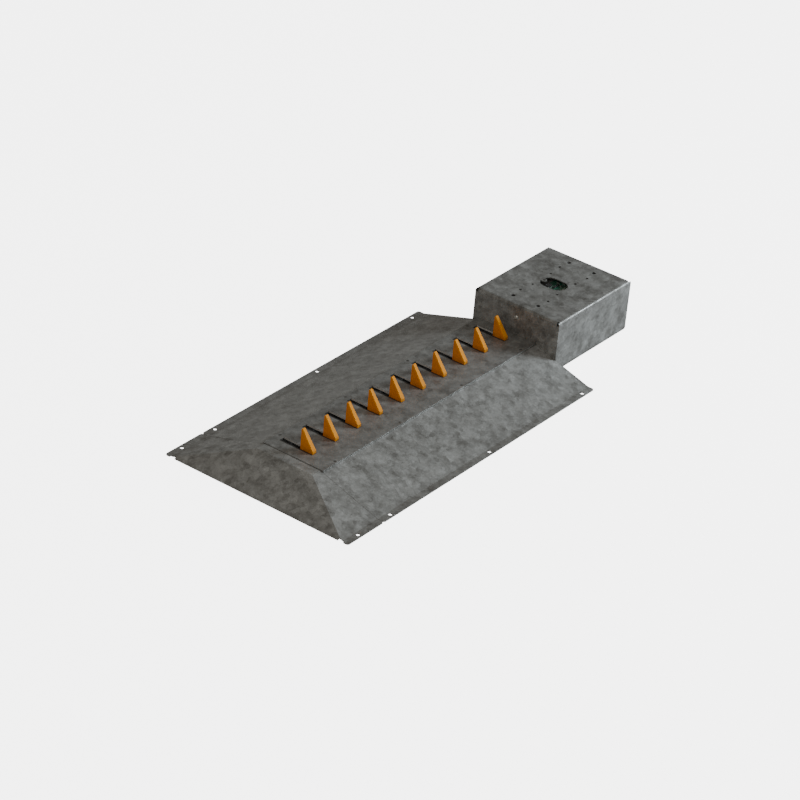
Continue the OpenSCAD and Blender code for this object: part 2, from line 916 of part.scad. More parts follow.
module spike_pins() {
    color("#8c8c8a")
        for (i = [1:spike_count])
            spike_pin_bar(i, spike_pin_d / 2, -1);
}

// Key between the shaft and the sector gear, on the shaft's upper side
key_w = 8;
key_h = 7;
module key_bar(g) {
    translate([x_sector - g, shaft_y - key_w / 2 - g, shaft_z + shaft_r - 4 - g])
        cube([sector_t + sector_hub_l + 2 * g, key_w + 2 * g, key_h + 2 * g]);
}

module gear_key() {
    color("#8c8c8a")
        key_bar(0);
}

// Wedge that thins a spike evenly from the deck to its tip
module spike_taper(i) {
    slope = (spike_t - spike_tip_t) / 2 / (tip_z - deck_z);
    high = tip_z + 5;
    low_half = spike_t / 2 + slope * deck_z;
    high_half = spike_t / 2 - slope * (high - deck_z);
    translate([spike_x(i), spike_tip_y + spike_base_l, 0])
        rotate([90, 0, 0])
            linear_extrude(height = 3 * spike_base_l)
                polygon([[-low_half, 0], [low_half, 0], [high_half, high], [-high_half, high]]);
}

// One spike, a fin on a round hub, thinner towards its blunt tip
module spike(i) {
    back_y = spike_front_y + spike_base_l;
    tip_front = spike_tip_y - spike_tip_w;
    blunt = spike_tip_w * 0.35;
    in_r = spike_hub_r - 3;
    color("#e08a1e")
        difference() {
            union() {
                bar_x(spike_x(i) - spike_t / 2, spike_t, spike_hub_r, shaft_y, shaft_z);
                intersection() {
                    spike_taper(i);
                    along_x(spike_x(i) - spike_t / 2, spike_t)
                        polygon([
                            [spike_front_y, shaft_z],
                            [spike_front_y, deck_z + spike_heel_h],
                            [tip_front, tip_z - blunt],
                            [tip_front + blunt, tip_z],
                            [spike_tip_y - blunt, tip_z],
                            [spike_tip_y, tip_z - blunt],
                            [back_y, deck_z],
                            [shaft_y + in_r * cos(24), shaft_z + in_r * sin(24)]
                        ]);
                }
            }
            bar_x(spike_x(i) - spike_t, 2 * spike_t, bore_r, shaft_y, shaft_z);
            spike_pin_bar(i, spike_pin_d / 2 + fit_gap, 2 * eps);
        }
}

// Collar that keeps the shaft from sliding towards the end piece
module shaft_collar() {
    collar_l = 14;
    color("#8c8c8a")
        difference() {
            bar_x(x_main_0 + rib_t + bush_flange_t + 0.3, collar_l, shaft_r + 8, shaft_y, shaft_z);
            bar_x(x_main_0, rib_t + collar_l + 10, bore_r, shaft_y, shaft_z);
        }
}

// Involute tooth flank: angle at radius r, measured from the tooth's middle
rad_deg = 180 / PI;
function inv_deg(a) = tan(a) * rad_deg - a;
function flank_deg(z, r) =
    let (rp = gear_m * z / 2, rb = rp * cos(pressure_deg), a = acos(min(1, rb / max(r, rb))))
    90 / z + inv_deg(pressure_deg) - inv_deg(a) - gear_play / 4 / rp * rad_deg;

// Points of one tooth whose middle lies at angle c; steps up one flank and down the other
function tooth_points(z, c) =
    let (rp = gear_m * z / 2, r0 = rp - 1.25 * gear_m, r1 = rp + 0.95 * gear_m,
         rs = [for (k = [0:4]) r0 + (r1 - r0) * k / 4])
    concat(
        [for (r = rs) [r, c - flank_deg(z, r)]],
        [for (k = [4:-1:0]) [rs[k], c + flank_deg(z, rs[k])]]
    );

// Polar points (radius, angle) to plane points, the angle from +Y towards +Z
function polar(p) = [p[0] * cos(p[1]), p[0] * sin(p[1])];

// Sector gear: it carries the teeth that meet the pinion between rest and folded
sector_mid = 90 + pinion_deg;
sector_n0 = -ceil(gear_overlap_deg * sector_z / 360);
sector_n1 = ceil(fold_deg * sector_z / 360) + 1;
module sector_outline() {
    step = 360 / sector_z;
    polygon(concat(
        [[0, 0]],
        [for (k = [sector_n0:sector_n1], p = tooth_points(sector_z, sector_mid + k * step)) polar(p)]
    ));
}

module sector_gear() {
    hub_r = shaft_r + 10;
    color("#8a8f94")
        difference() {
            union() {
                along_x(x_sector, sector_t)
                    translate([shaft_y, shaft_z])
                        sector_outline();
                bar_x(x_sector, sector_t + sector_hub_l, hub_r, shaft_y, shaft_z);
            }
            bar_x(x_sector - eps, sector_t + sector_hub_l + 2 * eps, bore_r, shaft_y, shaft_z);
            key_slot = key_h - 4 + 0.1;
            translate([x_sector - eps, shaft_y - key_w / 2 - fit_gap, shaft_z])
                cube([sector_t + sector_hub_l + 2 * eps, key_w + 2 * fit_gap, shaft_r + key_slot]);
        }
}

// Pinion, with a tooth gap facing the sector's middle tooth
module pinion() {
    step = 360 / pinion_z;
    mid = sector_mid + 180 + step / 2;
    color("#8a8f94")
        difference() {
            along_x(x_pinion, pinion_t)
                translate([pinion_y, pinion_cz])
                    polygon([for (k = [0:pinion_z - 1], p = tooth_points(pinion_z, mid + k * step)) polar(p)]);
            bar_x(x_pinion - eps, pinion_t + 2 * eps, output_r + fit_gap, pinion_y, pinion_cz);
            pinion_pin_bar(pinion_pin_r + fit_gap, 2 * pinion_r);
        }
}

pinion_pin_r = 2.5;
module pinion_pin_bar(r, l) {
    translate([x_pinion + pinion_t / 2, pinion_y, pinion_cz - l / 2])
        cylinder(h = l, r = r);
}

module pinion_pin() {
    color("#8c8c8a")
        pinion_pin_bar(pinion_pin_r, 2 * (pinion_r - 1.25 * gear_m) - 1);
}

module output_shaft() {
    color("#9a9c9c")
        difference() {
            bar_x(x_pinion - 2, x_gearbox + output_depth - x_pinion, output_r, pinion_y, pinion_cz);
            pinion_pin_bar(pinion_pin_r + fit_gap, 3 * output_r);
        }
}

// Inner bearing of the shaft, standing on the tray
pillow_w = 56;
pillow_foot_h = 10;
pillow_bolt_y = 21;
module pillow_block() {
    color("#5a6a78")
        difference() {
            union() {
                bar_x(x_pillow, pillow_t, bush_r + 6, shaft_y, shaft_z);
                translate([x_pillow, shaft_y - bush_r - 3, house_t])
                    cube([pillow_t, 2 * bush_r + 6, shaft_z - house_t]);
                translate([x_pillow, shaft_y - pillow_w / 2 - 8, house_t])
                    cube([pillow_t, pillow_w + 16, pillow_foot_h]);
            }
            bar_x(x_pillow - eps, pillow_t + 2 * eps, bush_r + fit_gap, shaft_y, shaft_z);
            for (s = [-1, 1])
                translate([x_pillow + pillow_t / 2, shaft_y + s * (pillow_w / 2 + 1), -eps])
                    cylinder(h = pillow_foot_h + house_t + 2 * eps, r = 3 + hole_play);
        }
}

module pillow_bush() {
    color("#b5803a")
        difference() {
            bar_x(x_pillow, pillow_t, bush_r, shaft_y, shaft_z);
            bar_x(x_pillow - eps, pillow_t + 2 * eps, bore_r, shaft_y, shaft_z);
        }
}

module pillow_bolts() {
    color("#8c8c8a")
        for (s = [-1, 1])
            translate([x_pillow + pillow_t / 2, shaft_y + s * (pillow_w / 2 + 1), house_t]) {
                cylinder(h = pillow_foot_h, r = 3);
                translate([0, 0, pillow_foot_h])
                    cylinder(h = 4, r = 5 / cos(30), $fn = 6);
            }
}

// Upright plate that carries the gearbox
module drive_bracket() {
    y0 = pinion_y - gearbox_s / 2 - 4;
    y1 = pinion_y + gearbox_s / 2 + 3;
    y_low = shaft_y - bush_r - 14;
    z_low = shaft_z + bush_r + 10;
    z_top = pinion_cz + gearbox_s / 2;
    color("#6c7072")
        difference() {
            union() {
                along_x(x_plate, plate_t)
                    polygon([
                        [y0, house_t], [y_low, house_t], [y_low, z_low],
                        [y1, z_low + 4], [y1, z_top], [y0, z_top]
                    ]);
                translate([x_plate, y0, house_t])
                    cube([plate_foot_l, y_low - y0, plate_t]);
            }
            bar_x(x_plate - eps, plate_t + 2 * eps, output_r + 8, pinion_y, pinion_cz);
            for (p = gearbox_bolt_yz)
                bar_x(x_plate - eps, plate_t + 2 * eps, m8_r + hole_play, p[0], p[1]);
            for (y = bracket_bolt_ys)
                translate([x_plate + plate_bolt_x, y, 0])
                    cylinder(h = house_t + 2 * plate_t, r = m8_r + hole_play);
        }
}

gearbox_bolt_s = gearbox_s / 2 - 10;
gearbox_bolt_yz = [for (sy = [-1, 1], sz = [-1, 1])
    [pinion_y + sy * gearbox_bolt_s, pinion_cz + sz * gearbox_bolt_s]];
bracket_bolt_ys = [pinion_y - gearbox_s * 0.31, pinion_y + 2];
plate_foot_l = 50;
plate_bolt_x = 36;

module bracket_bolts() {
    color("#8c8c8a")
        for (y = bracket_bolt_ys)
            translate([x_plate + plate_bolt_x, y, house_t]) {
                cylinder(h = plate_t, r = m8_r);
                translate([0, 0, plate_t])
                    cylinder(h = m8_head_t, r = m8_head_r / cos(30), $fn = 6);
            }
}

module gearbox() {
    s = gearbox_s;
    boss_r = output_r + 7;
    fin = 3;
    color("#53606b")
        difference() {
            union() {
                translate([x_gearbox, pinion_y - s / 2, pinion_cz - s / 2])
                    cube([gearbox_l, s, s]);
                bar_x(x_gearbox - 5, 6, boss_r, pinion_y, pinion_cz);
            }
            bar_x(x_gearbox - 5 - eps, output_depth + 5 + 2 * eps, output_r + run_gap, pinion_y, pinion_cz);
            for (p = gearbox_bolt_yz)
                bar_x(x_gearbox - eps, 16 + eps, m8_r + fit_gap, p[0], p[1]);
            for (k = [1:4], side = [-1, 1])
                translate([x_gearbox + k * gearbox_l / 5 - fin / 2, pinion_y + side * s / 2 - fin, pinion_cz - s / 2 - eps])
                    cube([fin, 2 * fin, s + 2 * eps]);
        }
}

module gearbox_screws() {
    color("#8c8c8a")
        for (p = gearbox_bolt_yz)
            union() {
                bar_x(x_plate - m8_cap_h, m8_cap_h, m8_head_r - 1, p[0], p[1]);
                bar_x(x_plate - 1, plate_t + 15, m8_r, p[0], p[1]);
            }
}

module motor() {
    r = motor_d / 2;
    rib_n = 16;
    color("#44505a")
        difference() {
            bar_x(x_motor, motor_l, r, pinion_y, pinion_cz);
            for (k = [0:rib_n - 1])
                translate([x_motor + motor_rib_inset, pinion_y, pinion_cz])
                    rotate([k * 360 / rib_n + 180 / rib_n, 0, 0])
                        translate([0, -2, r - 3])
                            cube([motor_l - 2 * motor_rib_inset, 4, 6]);
        }
}

module motor_cap() {
    r = motor_d / 2;
    color("#2b2d2f")
        difference() {
            bar_x(x_motor + motor_l, motor_cap_l, r - 1, pinion_y, pinion_cz);
            for (k = [-2:2])
                translate([x_motor + motor_l + motor_cap_l - 4, pinion_y + k * 11 - 2, pinion_cz - 0.3 * motor_d])
                    cube([6, 4, 0.6 * motor_d]);
        }
}

// Lobe on the shaft's end that the position sensors read
flag_r = 24;
sensor_zs = [shaft_z + 13, shaft_z - 11];
module position_flag() {
    color("#9a9c9c")
        difference() {
            union() {
                bar_x(x_flag, flag_t, shaft_r + 5, shaft_y, shaft_z);
                along_x(x_flag, flag_t)
                    translate([shaft_y, shaft_z])
                        polygon(concat([[0, 0]], [for (a = [12:6:54]) [flag_r * cos(a), flag_r * sin(a)]]));
            }
            bar_x(x_flag - eps, flag_t + 2 * eps, bore_r, shaft_y, shaft_z);
        }
}

sensor_r = 4;
sensor_l = 40;
sensor_y = shaft_y + flag_r + 2;
module sensor_bracket() {
    y = sensor_y + 14;
    color("#6c7072")
        difference() {
            union() {
                translate([x_flag - 6, y, house_t])
                    cube([22, 3, shaft_z + 24]);
                translate([x_flag - 6, y, house_t])
                    cube([22, 20, 3]);
            }
            for (z = sensor_zs)
                translate([x_flag + flag_t / 2, y + 4, z])
                    rotate([90, 0, 0])
                        cylinder(h = 6, r = sensor_r + fit_gap);
        }
}

module position_sensors() {
    color("#c9a227")
        for (z = sensor_zs)
            translate([x_flag + flag_t / 2, sensor_y, z])
                rotate([-90, 0, 0])
                    cylinder(h = sensor_l, r = sensor_r);
}

// Bridge over the motor that carries the circuit board
module board_bracket() {
    t = bracket_t;
    foot = bracket_foot;
    color("#8d9494")
        difference() {
            along_x(board_cx - board_l / 2, board_l)
                polygon([
                    [bracket_y0 - foot, house_t], [bracket_y0 - foot, house_t + t], [bracket_y0, house_t + t],
                    [bracket_y0, bracket_z], [bracket_y1, bracket_z], [bracket_y1, house_t + t],
                    [bracket_y1 + foot, house_t + t], [bracket_y1 + foot, house_t], [bracket_y1 - t, house_t],
                    [bracket_y1 - t, bracket_z - t], [bracket_y0 + t, bracket_z - t], [bracket_y0 + t, house_t]
                ]);
            for (sx = [-1, 1])
                for (y = [board_y0 + board_inset, board_y0 + board_w - board_inset])
                    translate([board_cx + sx * (board_l / 2 - board_inset), y, bracket_z - t - eps])
                        cylinder(h = t + 2 * eps, r = 1.5);
        }
}

module board_corners() {
    for (sx = [-1, 1])
        for (y = [board_y0 + board_inset, board_y0 + board_w - board_inset])
            translate([board_cx + sx * (board_l / 2 - board_inset), y, 0])
                children();
}

module board_standoffs() {
    color("#c9c9c4")
        board_corners()
            translate([0, 0, bracket_z])
                cylinder(h = board_z - bracket_z, r = standoff_r);
}

module circuit_board() {
    color("#1f6b45")
        difference() {
            translate([board_cx - board_l / 2, board_y0, board_z])
                cube([board_l, board_w, board_t]);
            board_corners()
                translate([0, 0, board_z - eps])
                    cylinder(h = board_t + 2 * eps, r = 1.6);
        }
}

// Components on the board: place along X and Y on the board, then size
board_chips = [
    [12, 14, 15, 19, 8], [12, 38, 15, 19, 8], [12, 60, 15, 19, 8],
    [44, 40, 30, 10, 3], [50, 58, 14, 14, 2], [82, 30, 22, 16, 6],
    [84, 58, 28, 8, 3], [118, 14, 14, 14, 5]
];
module board_parts() {
    z = board_z + board_t;
    color("#2a2d2e")
        for (c = board_chips)
            translate([board_cx - board_l / 2 + c[0], board_y0 + c[1], z])
                cube([c[2], c[3], c[4]]);
    color("#3f9a58")
        translate([board_cx - board_l * 0.25, board_y0 + 2, z])
            cube([board_l * 0.56, 9, 8]);
    color("#3a4a6a")
        for (k = [0:2])
            translate([board_cx - board_l * 0.2 + k * 14, board_y0 + board_w * 0.31, z])
                cylinder(h = 7, r = 4);
}

// Core and winding of the transformer, given as length, width and height
core_size = [64, 24, 52];
coil_size = [40, 32, 36];
module transformer() {
    x = board_cx - core_size[0] / 2;
    y = bracket_y1 + bracket_foot + 6;
    color("#4a4038") {
        translate([x, y, house_t])
            cube(core_size);
        translate([x, y, house_t] + (core_size - coil_size) / 2)
            cube(coil_size);
    }
}

gland_thread_r = 8;
module cable_gland() {
    color("#2b2d2f")
        translate([gland_x, tray_y1, gland_z])
            rotate([-90, 0, 0])
                difference() {
                    union() {
                        translate([0, 0, -house_t - 10])
                            cylinder(h = house_t + 10, r = gland_thread_r);
                        translate([0, 0, -house_t - 6])
                            cylinder(h = 6, r = gland_r / cos(30), $fn = 6);
                        cylinder(h = 9, r = gland_r, $fn = 6);
                        translate([0, 0, 9])
                            cylinder(h = 8, r = gland_r - 1.5);
                    }
                    translate([0, 0, -house_t - 10 - eps])
                        cylinder(h = house_t + 27 + 2 * eps, r = gland_bore_r);
                }
}

ramp_near();
ramp_far();
gussets_near();
gussets_far();
deck_plate();
deck_screws();
deck_nuts();
end_ramp();
end_ribs();
end_bolts();
end_nuts();
rail_near();
rail_far();
rib(0, end_bolt_yz);  // rib_1
rib(1);  // rib_2
rib(2);  // rib_3
rib(3, joint_bolt_yz);  // rib_4
shaft_bushes();
housing_tray();
housing_cover();
cover_screws();
cover_nuts();
joint_bolts();
joint_nuts();
pillow_block();
pillow_bush();
pillow_bolts();
drive_bracket();
bracket_bolts();
gearbox();
gearbox_screws();
motor();
motor_cap();
sensor_bracket();
position_sensors();
board_bracket();
board_standoffs();
circuit_board();
board_parts();
transformer();
cable_gland();
spike_shaft();
spike_pins();
shaft_collar();
sector_gear();
gear_key();
position_flag();
output_shaft();
pinion();
pinion_pin();
for (i = [1:spike_count])
    spike(i);
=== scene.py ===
"""Dresses the tyre spike strip's CAD frame: soft-edged sheets, painted spikes, board components, stage."""

import json
from math import radians

import bmesh
import bpy
from bpy.props import FloatProperty, FloatVectorProperty, PointerProperty
from mathutils import Matrix, Vector


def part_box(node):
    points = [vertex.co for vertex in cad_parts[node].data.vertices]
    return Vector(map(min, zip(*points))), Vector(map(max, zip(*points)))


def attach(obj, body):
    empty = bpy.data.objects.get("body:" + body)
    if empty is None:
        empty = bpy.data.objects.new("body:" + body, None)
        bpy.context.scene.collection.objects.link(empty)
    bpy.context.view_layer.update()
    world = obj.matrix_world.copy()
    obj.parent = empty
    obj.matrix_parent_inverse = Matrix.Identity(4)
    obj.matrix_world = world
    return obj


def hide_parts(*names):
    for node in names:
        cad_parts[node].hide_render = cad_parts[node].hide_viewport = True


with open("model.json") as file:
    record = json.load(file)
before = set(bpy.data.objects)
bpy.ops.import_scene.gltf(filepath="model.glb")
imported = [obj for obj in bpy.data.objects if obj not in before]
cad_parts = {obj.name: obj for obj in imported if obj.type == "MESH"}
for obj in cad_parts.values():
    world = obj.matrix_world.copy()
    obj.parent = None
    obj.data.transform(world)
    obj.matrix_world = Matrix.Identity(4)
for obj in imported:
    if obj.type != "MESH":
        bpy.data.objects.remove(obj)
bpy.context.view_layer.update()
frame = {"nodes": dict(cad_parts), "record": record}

bl_info = {
    "name": "Tyre spike strip looks",
    "version": (1, 0, 0),
    "blender": (4, 5, 0),
    "location": "View3D > Sidebar > Spike strip",
    "description": "Builds the looks of a motorised tyre spike strip around its CAD frame",
    "category": "Object",
}

MM = 0.001
NODES = frame["nodes"]
BODY = {node: body for body, nodes in frame["record"]["behaviour"]["bodies"].items() for node in nodes}
MATERIAL_SLOT = {part["node"]: part["material_slot"] for part in frame["record"]["subparts"]}
SPIKES = sorted(n for n in NODES if n.startswith("spike_") and n[6:].isdigit())
INNER = (
    "rail_near", "rail_far", "rib_1", "rib_2", "rib_3", "rib_4", "gussets_near", "gussets_far", "end_ribs",
)
SOFTENED = (
    "housing_tray", "pillow_block", "drive_bracket", "gearbox", "motor", "motor_cap", "sensor_bracket",
    "board_bracket", "transformer", "circuit_board", "cable_gland",
)

# The spikes' leading edge as (Y, Z) of its heel and its tip
SPIKE_HEEL, SPIKE_TIP = (-33 * MM, 77 * MM), (6 * MM, 130.5 * MM)
# X of the joint of the end piece and the main unit
JOINT_X = -609.7 * MM
# The deck's slots: half their width, Y of their near and far ends, and Y past the spikes' feet
SLOT_HALF, SLOT_ENDS, FEET_END = 8.5 * MM, (-34.5 * MM, 81 * MM), 14 * MM
# Where darkening thins out: painted shade up the spikes, dirt off the joint, painted contact shade off the
# slots at the feet and painted shade off the slots' sides
SPIKE_SHADE, JOINT_DIRT = (68 * MM, 84 * MM), (0.8 * MM, 3 * MM)
FOOT_SHADE, SIDE_SHADE = (0.2 * MM, 3 * MM), (3.5 * MM, 6 * MM)
# Colours: road dirt; the deck's dirt and painted shade; painted light on the slots' walls facing the end
# piece
ROAD_SOIL, DECK_SOIL_AND_SHADE, PAINTED_LIT_ZINC = (0.10, 0.09, 0.075), (0.03, 0.027, 0.023), (0.8, 0.8, 0.78)
# Radius and height of the board's can capacitors in millimetres, and how much of the top is bare
CAN_SIZE, CAN_BARE = (4, 7), 0.5


def colour(name, text, default):
    return FloatVectorProperty(
        name=name, description=text, default=default, size=3, subtype="COLOR", min=0, max=1
    )


def length(name, text, default):
    return FloatProperty(
        name=name, description=text, default=default, min=0, unit="LENGTH", subtype="DISTANCE"
    )


class StripSheetLooks(bpy.types.PropertyGroup):
    zinc_light: colour("Light zinc", "Lighter crystals of the galvanised coat", (0.55, 0.565, 0.56))
    zinc_dark: colour("Dark zinc", "Darker crystals of the galvanised coat", (0.15, 0.147, 0.138))
    spangle: length("Crystal size", "Size of the coat's crystals", 0.016)
    bend: length("Bend", "Width of a rounded bend in a sheet", 0.0045)
    edge: length("Edge", "Width of a sheet's softened cut edge", 0.0005)


class StripSpikeLooks(bpy.types.PropertyGroup):
    paint: colour("Paint", "Colour of the spikes", (0.8, 0.25, 0.006))
    # The lighter orange of the leading edge and heel is a painted highlight
    highlight_paint: colour("Rubbed paint", "Colour of the paint where tyres rub it", (1.0, 0.4, 0.025))
    edge: length("Edge", "Width of the spikes' softened edges", 0.003)


class StripStageLooks(bpy.types.PropertyGroup):
    floor: colour("Floor", "Colour of the floor", (0.8, 0.8, 0.8))
    glow: FloatProperty(
        name="Floor glow", description="How white the floor reads in the picture", default=5.0, min=0
    )
    key: FloatProperty(
        name="Key light", description="Power of the large light", default=250.0, min=0, unit="POWER"
    )


# ---- shader nodes ----


class Nodes:
    """Adds nodes to a tree and links them by socket name."""

    def __init__(self, tree):
        self.tree = tree
        self.link = tree.links.new

    def add(self, kind, links=(), **values):
        node = self.tree.nodes.new(kind)
        for key, value in values.items():
            if hasattr(node, key):
                setattr(node, key, value)
            else:
                node.inputs[key.replace("_", " ")].default_value = value
        for name, source in dict(links).items():
            self.link(source, node.inputs[name])
        return node

    def feed(self, socket, value):
        """Links a socket to another one, or gives it a plain value."""
        if isinstance(value, bpy.types.NodeSocket):
            self.link(value, socket)
        elif value is not None:
            socket.default_value = value

    def math(self, operation, a, b=None, clamp=False):
        """One sum, product or comparison of values or sockets."""
        node = self.tree.nodes.new("ShaderNodeMath")
        node.operation, node.use_clamp = operation, clamp
        self.feed(node.inputs[0], a)
        self.feed(node.inputs[1], b)
        return node.outputs[0]

    def mix(self, factor, a, b):
        """Colour a where factor is 0 and b where it is 1."""
        node = self.tree.nodes.new("ShaderNodeMix")
        node.data_type = "RGBA"
        self.feed(node.inputs[0], factor)
        for index, tint in ((6, a), (7, b)):
            self.feed(node.inputs[index], tint if isinstance(tint, bpy.types.NodeSocket) else (*tint, 1))
        return node.outputs[2]

    def ramp(self, factor, low, high):
        """0 up to low and 1 from high on."""
        node = self.tree.nodes.new("ShaderNodeMapRange")
        node.inputs["From Min"].default_value, node.inputs["From Max"].default_value = low, high
        self.link(factor, node.inputs["Value"])
        return node.outputs["Result"]

    def fade(self, factor, low, high):
        """1 up to low and 0 from high on."""
        return self.math("SUBTRACT", 1.0, self.ramp(factor, low, high))

    def place(self):
        """The piece's own coordinates, in metres."""
        return self.add("ShaderNodeTexCoord").outputs["Object"]

    def axes(self, vector):
        """X, Y and Z of a vector, by name."""
        return self.add("ShaderNodeSeparateXYZ", {"Vector": vector}).outputs

    def noise(self, place, scale, detail, roughness=0.5):
        """Cloudy noise about the middle of 0 to 1."""
        node = self.add("ShaderNodeTexNoise", {"Vector": place}, Detail=detail, Roughness=roughness)
        self.feed(node.inputs["Scale"], scale)
        return node.outputs["Fac"]


def new_group(name, inputs, outputs):
    """A shader node group with its nodes, its input node and its output node."""
    group = bpy.data.node_groups.new(name, "ShaderNodeTree")
    for label, kind, default in inputs:
        socket = group.interface.new_socket(label, in_out="INPUT", socket_type="NodeSocket" + kind)
        socket.default_value = default
    for label, kind in outputs:
        group.interface.new_socket(label, in_out="OUTPUT", socket_type="NodeSocket" + kind)
    nodes = Nodes(group)
    return group, nodes, nodes.add("NodeGroupInput"), nodes.add("NodeGroupOutput")


def zinc_group():
    """Galvanised coat: crystals, clouds, blotches, light flecks and specks."""
    group, n, gin, gout = new_group(
        "galvanised_coat",
        (
            ("Light", "Color", (0.42, 0.43, 0.42, 1)),
            ("Dark", "Color", (0.22, 0.22, 0.22, 1)),
            ("Cells", "Float", 90.0),
            ("Contrast", "Float", 0.5),
        ),
        (("Color", "Color"), ("Roughness", "Float"), ("Height", "Float")),
    )
    place = n.place()
    warp = n.add("ShaderNodeTexNoise", {"Vector": place}, Scale=45.0, Detail=3.0)
    shift = n.add("ShaderNodeVectorMath", {0: warp.outputs["Color"]}, operation="SCALE", Scale=0.014)
    moved = n.add("ShaderNodeVectorMath", {0: place, 1: shift.outputs[0]}, operation="ADD").outputs[0]
    large = n.add("ShaderNodeTexVoronoi", {"Vector": moved, "Scale": gin.outputs["Cells"]})
    crystal_tone, crystal_rough, crystal_height = n.add(
        "ShaderNodeSeparateColor", {"Color": large.outputs["Color"]}
    ).outputs
    small = n.add("ShaderNodeTexVoronoi", {"Vector": moved}, Scale=260.0)
    fine = n.add("ShaderNodeSeparateColor", {"Color": small.outputs["Color"]}).outputs[0]
    speck = n.noise(place, 170.0, 4.0, 0.7)

    grey = n.math("ADD", n.math("MULTIPLY", crystal_tone, 0.45), n.math("MULTIPLY", fine, 0.12))
    for pattern, low, high, weight in (
        (n.noise(place, 9.0, 3.0, 0.6), 0.32, 0.68, 0.3),  # clouds
        (n.noise(moved, 64.0, 4.0, 0.6), 0.56, 0.7, 0.45),  # light flecks
        (n.noise(moved, 27.0, 5.0, 0.6), 0.36, 0.64, 0.7),  # blotches
        (speck, 0.35, 0.65, 0.3),
    ):
        grey = n.math("ADD", grey, n.math("MULTIPLY", n.ramp(pattern, low, high), weight))
    centred = n.math("MULTIPLY", n.math("SUBTRACT", grey, 1.0), gin.outputs["Contrast"])
    tone = n.math("ADD", centred, 0.5, clamp=True)
    n.link(n.mix(tone, gin.outputs["Dark"], gin.outputs["Light"]), gout.inputs["Color"])

    rough = n.math("ADD", n.math("MULTIPLY", crystal_rough, 0.16), n.math("MULTIPLY", speck, 0.14))
    n.link(n.math("ADD", rough, 0.28), gout.inputs["Roughness"])
    n.link(n.math("ADD", n.math("MULTIPLY", crystal_height, 0.25), speck), gout.inputs["Height"])
    return group


def grime_group():
    """Road dust and rain marks: a mask that grows towards the ground and gathers in patches."""
    group, n, gin, gout = new_group(
        "road_grime",
        (("Reach", "Float", 0.05), ("Amount", "Float", 0.4), ("Patch", "Float", 30.0)),
        (("Mask", "Float"),),
    )
    place = n.place()
    height = n.axes(place)["Z"]
    low = n.math("SUBTRACT", 1.0, n.math("DIVIDE", height, gin.outputs["Reach"]), clamp=True)
    spots = n.ramp(n.noise(place, gin.outputs["Patch"], 6.0, 0.65), 0.42, 0.68)
    splashed = n.math("MULTIPLY", n.fade(height, 3 * MM, 9 * MM), 0.75)
    mask = n.math("MULTIPLY", n.math("ADD", n.math("MULTIPLY", low, 0.6), 0.4), spots)
    mask = n.math("ADD", mask, splashed)
    n.link(n.math("MULTIPLY", mask, gin.outputs["Amount"], clamp=True), gout.inputs["Mask"])
    return group


def grain_group():
    """Fine surface grain for paint, plastic, castings and machined steel."""
    group, n, gin, gout = new_group(
        "fine_grain",
        (("Scale", "Float", 400.0), ("Stretch", "Vector", (1, 1, 1)), ("Spread", "Float", 0.1)),
        (("Shade", "Float"), ("Roughness", "Float"), ("Height", "Float")),
    )
    place = n.place()
    drawn = n.add("ShaderNodeVectorMath", {0: place, 1: gin.outputs["Stretch"]}, operation="MULTIPLY")
    grain = n.noise(drawn.outputs[0], gin.outputs["Scale"], 4.0)
    cloud = n.noise(place, 38.0, 4.0)
    shade = n.math("ADD", n.math("MULTIPLY", cloud, 0.6), n.math("MULTIPLY", grain, 0.4))
    n.link(shade, gout.inputs["Shade"])
    spread = n.math("MULTIPLY", n.math("SUBTRACT", shade, 0.5), gin.outputs["Spread"])
    n.link(spread, gout.inputs["Roughness"])
    n.link(grain, gout.inputs["Height"])
    return group


# ---- materials ----


def dimmed(tint, share):
    """A colour made darker."""
    return tuple(v * share for v in tint)


def new_material(name):
    """A material with its nodes and its shader."""
    material = bpy.data.materials.new(name)
    material.use_nodes = True
    return material, Nodes(material.node_tree), material.node_tree.nodes["Principled BSDF"]


def place_group(n, group, **values):
    """Puts a node group into a material and gives its outputs."""
    node = n.add("ShaderNodeGroup", node_tree=group)
    for key, value in values.items():
        node.inputs[key].default_value = value
    return node.outputs


def bump(n, shader, height, strength, distance):
    """Makes the surface uneven by a height map."""
    node = n.add("ShaderNodeBump", {"Height": height}, Strength=strength, Distance=distance)
    n.link(node.outputs["Normal"], shader.inputs["Normal"])


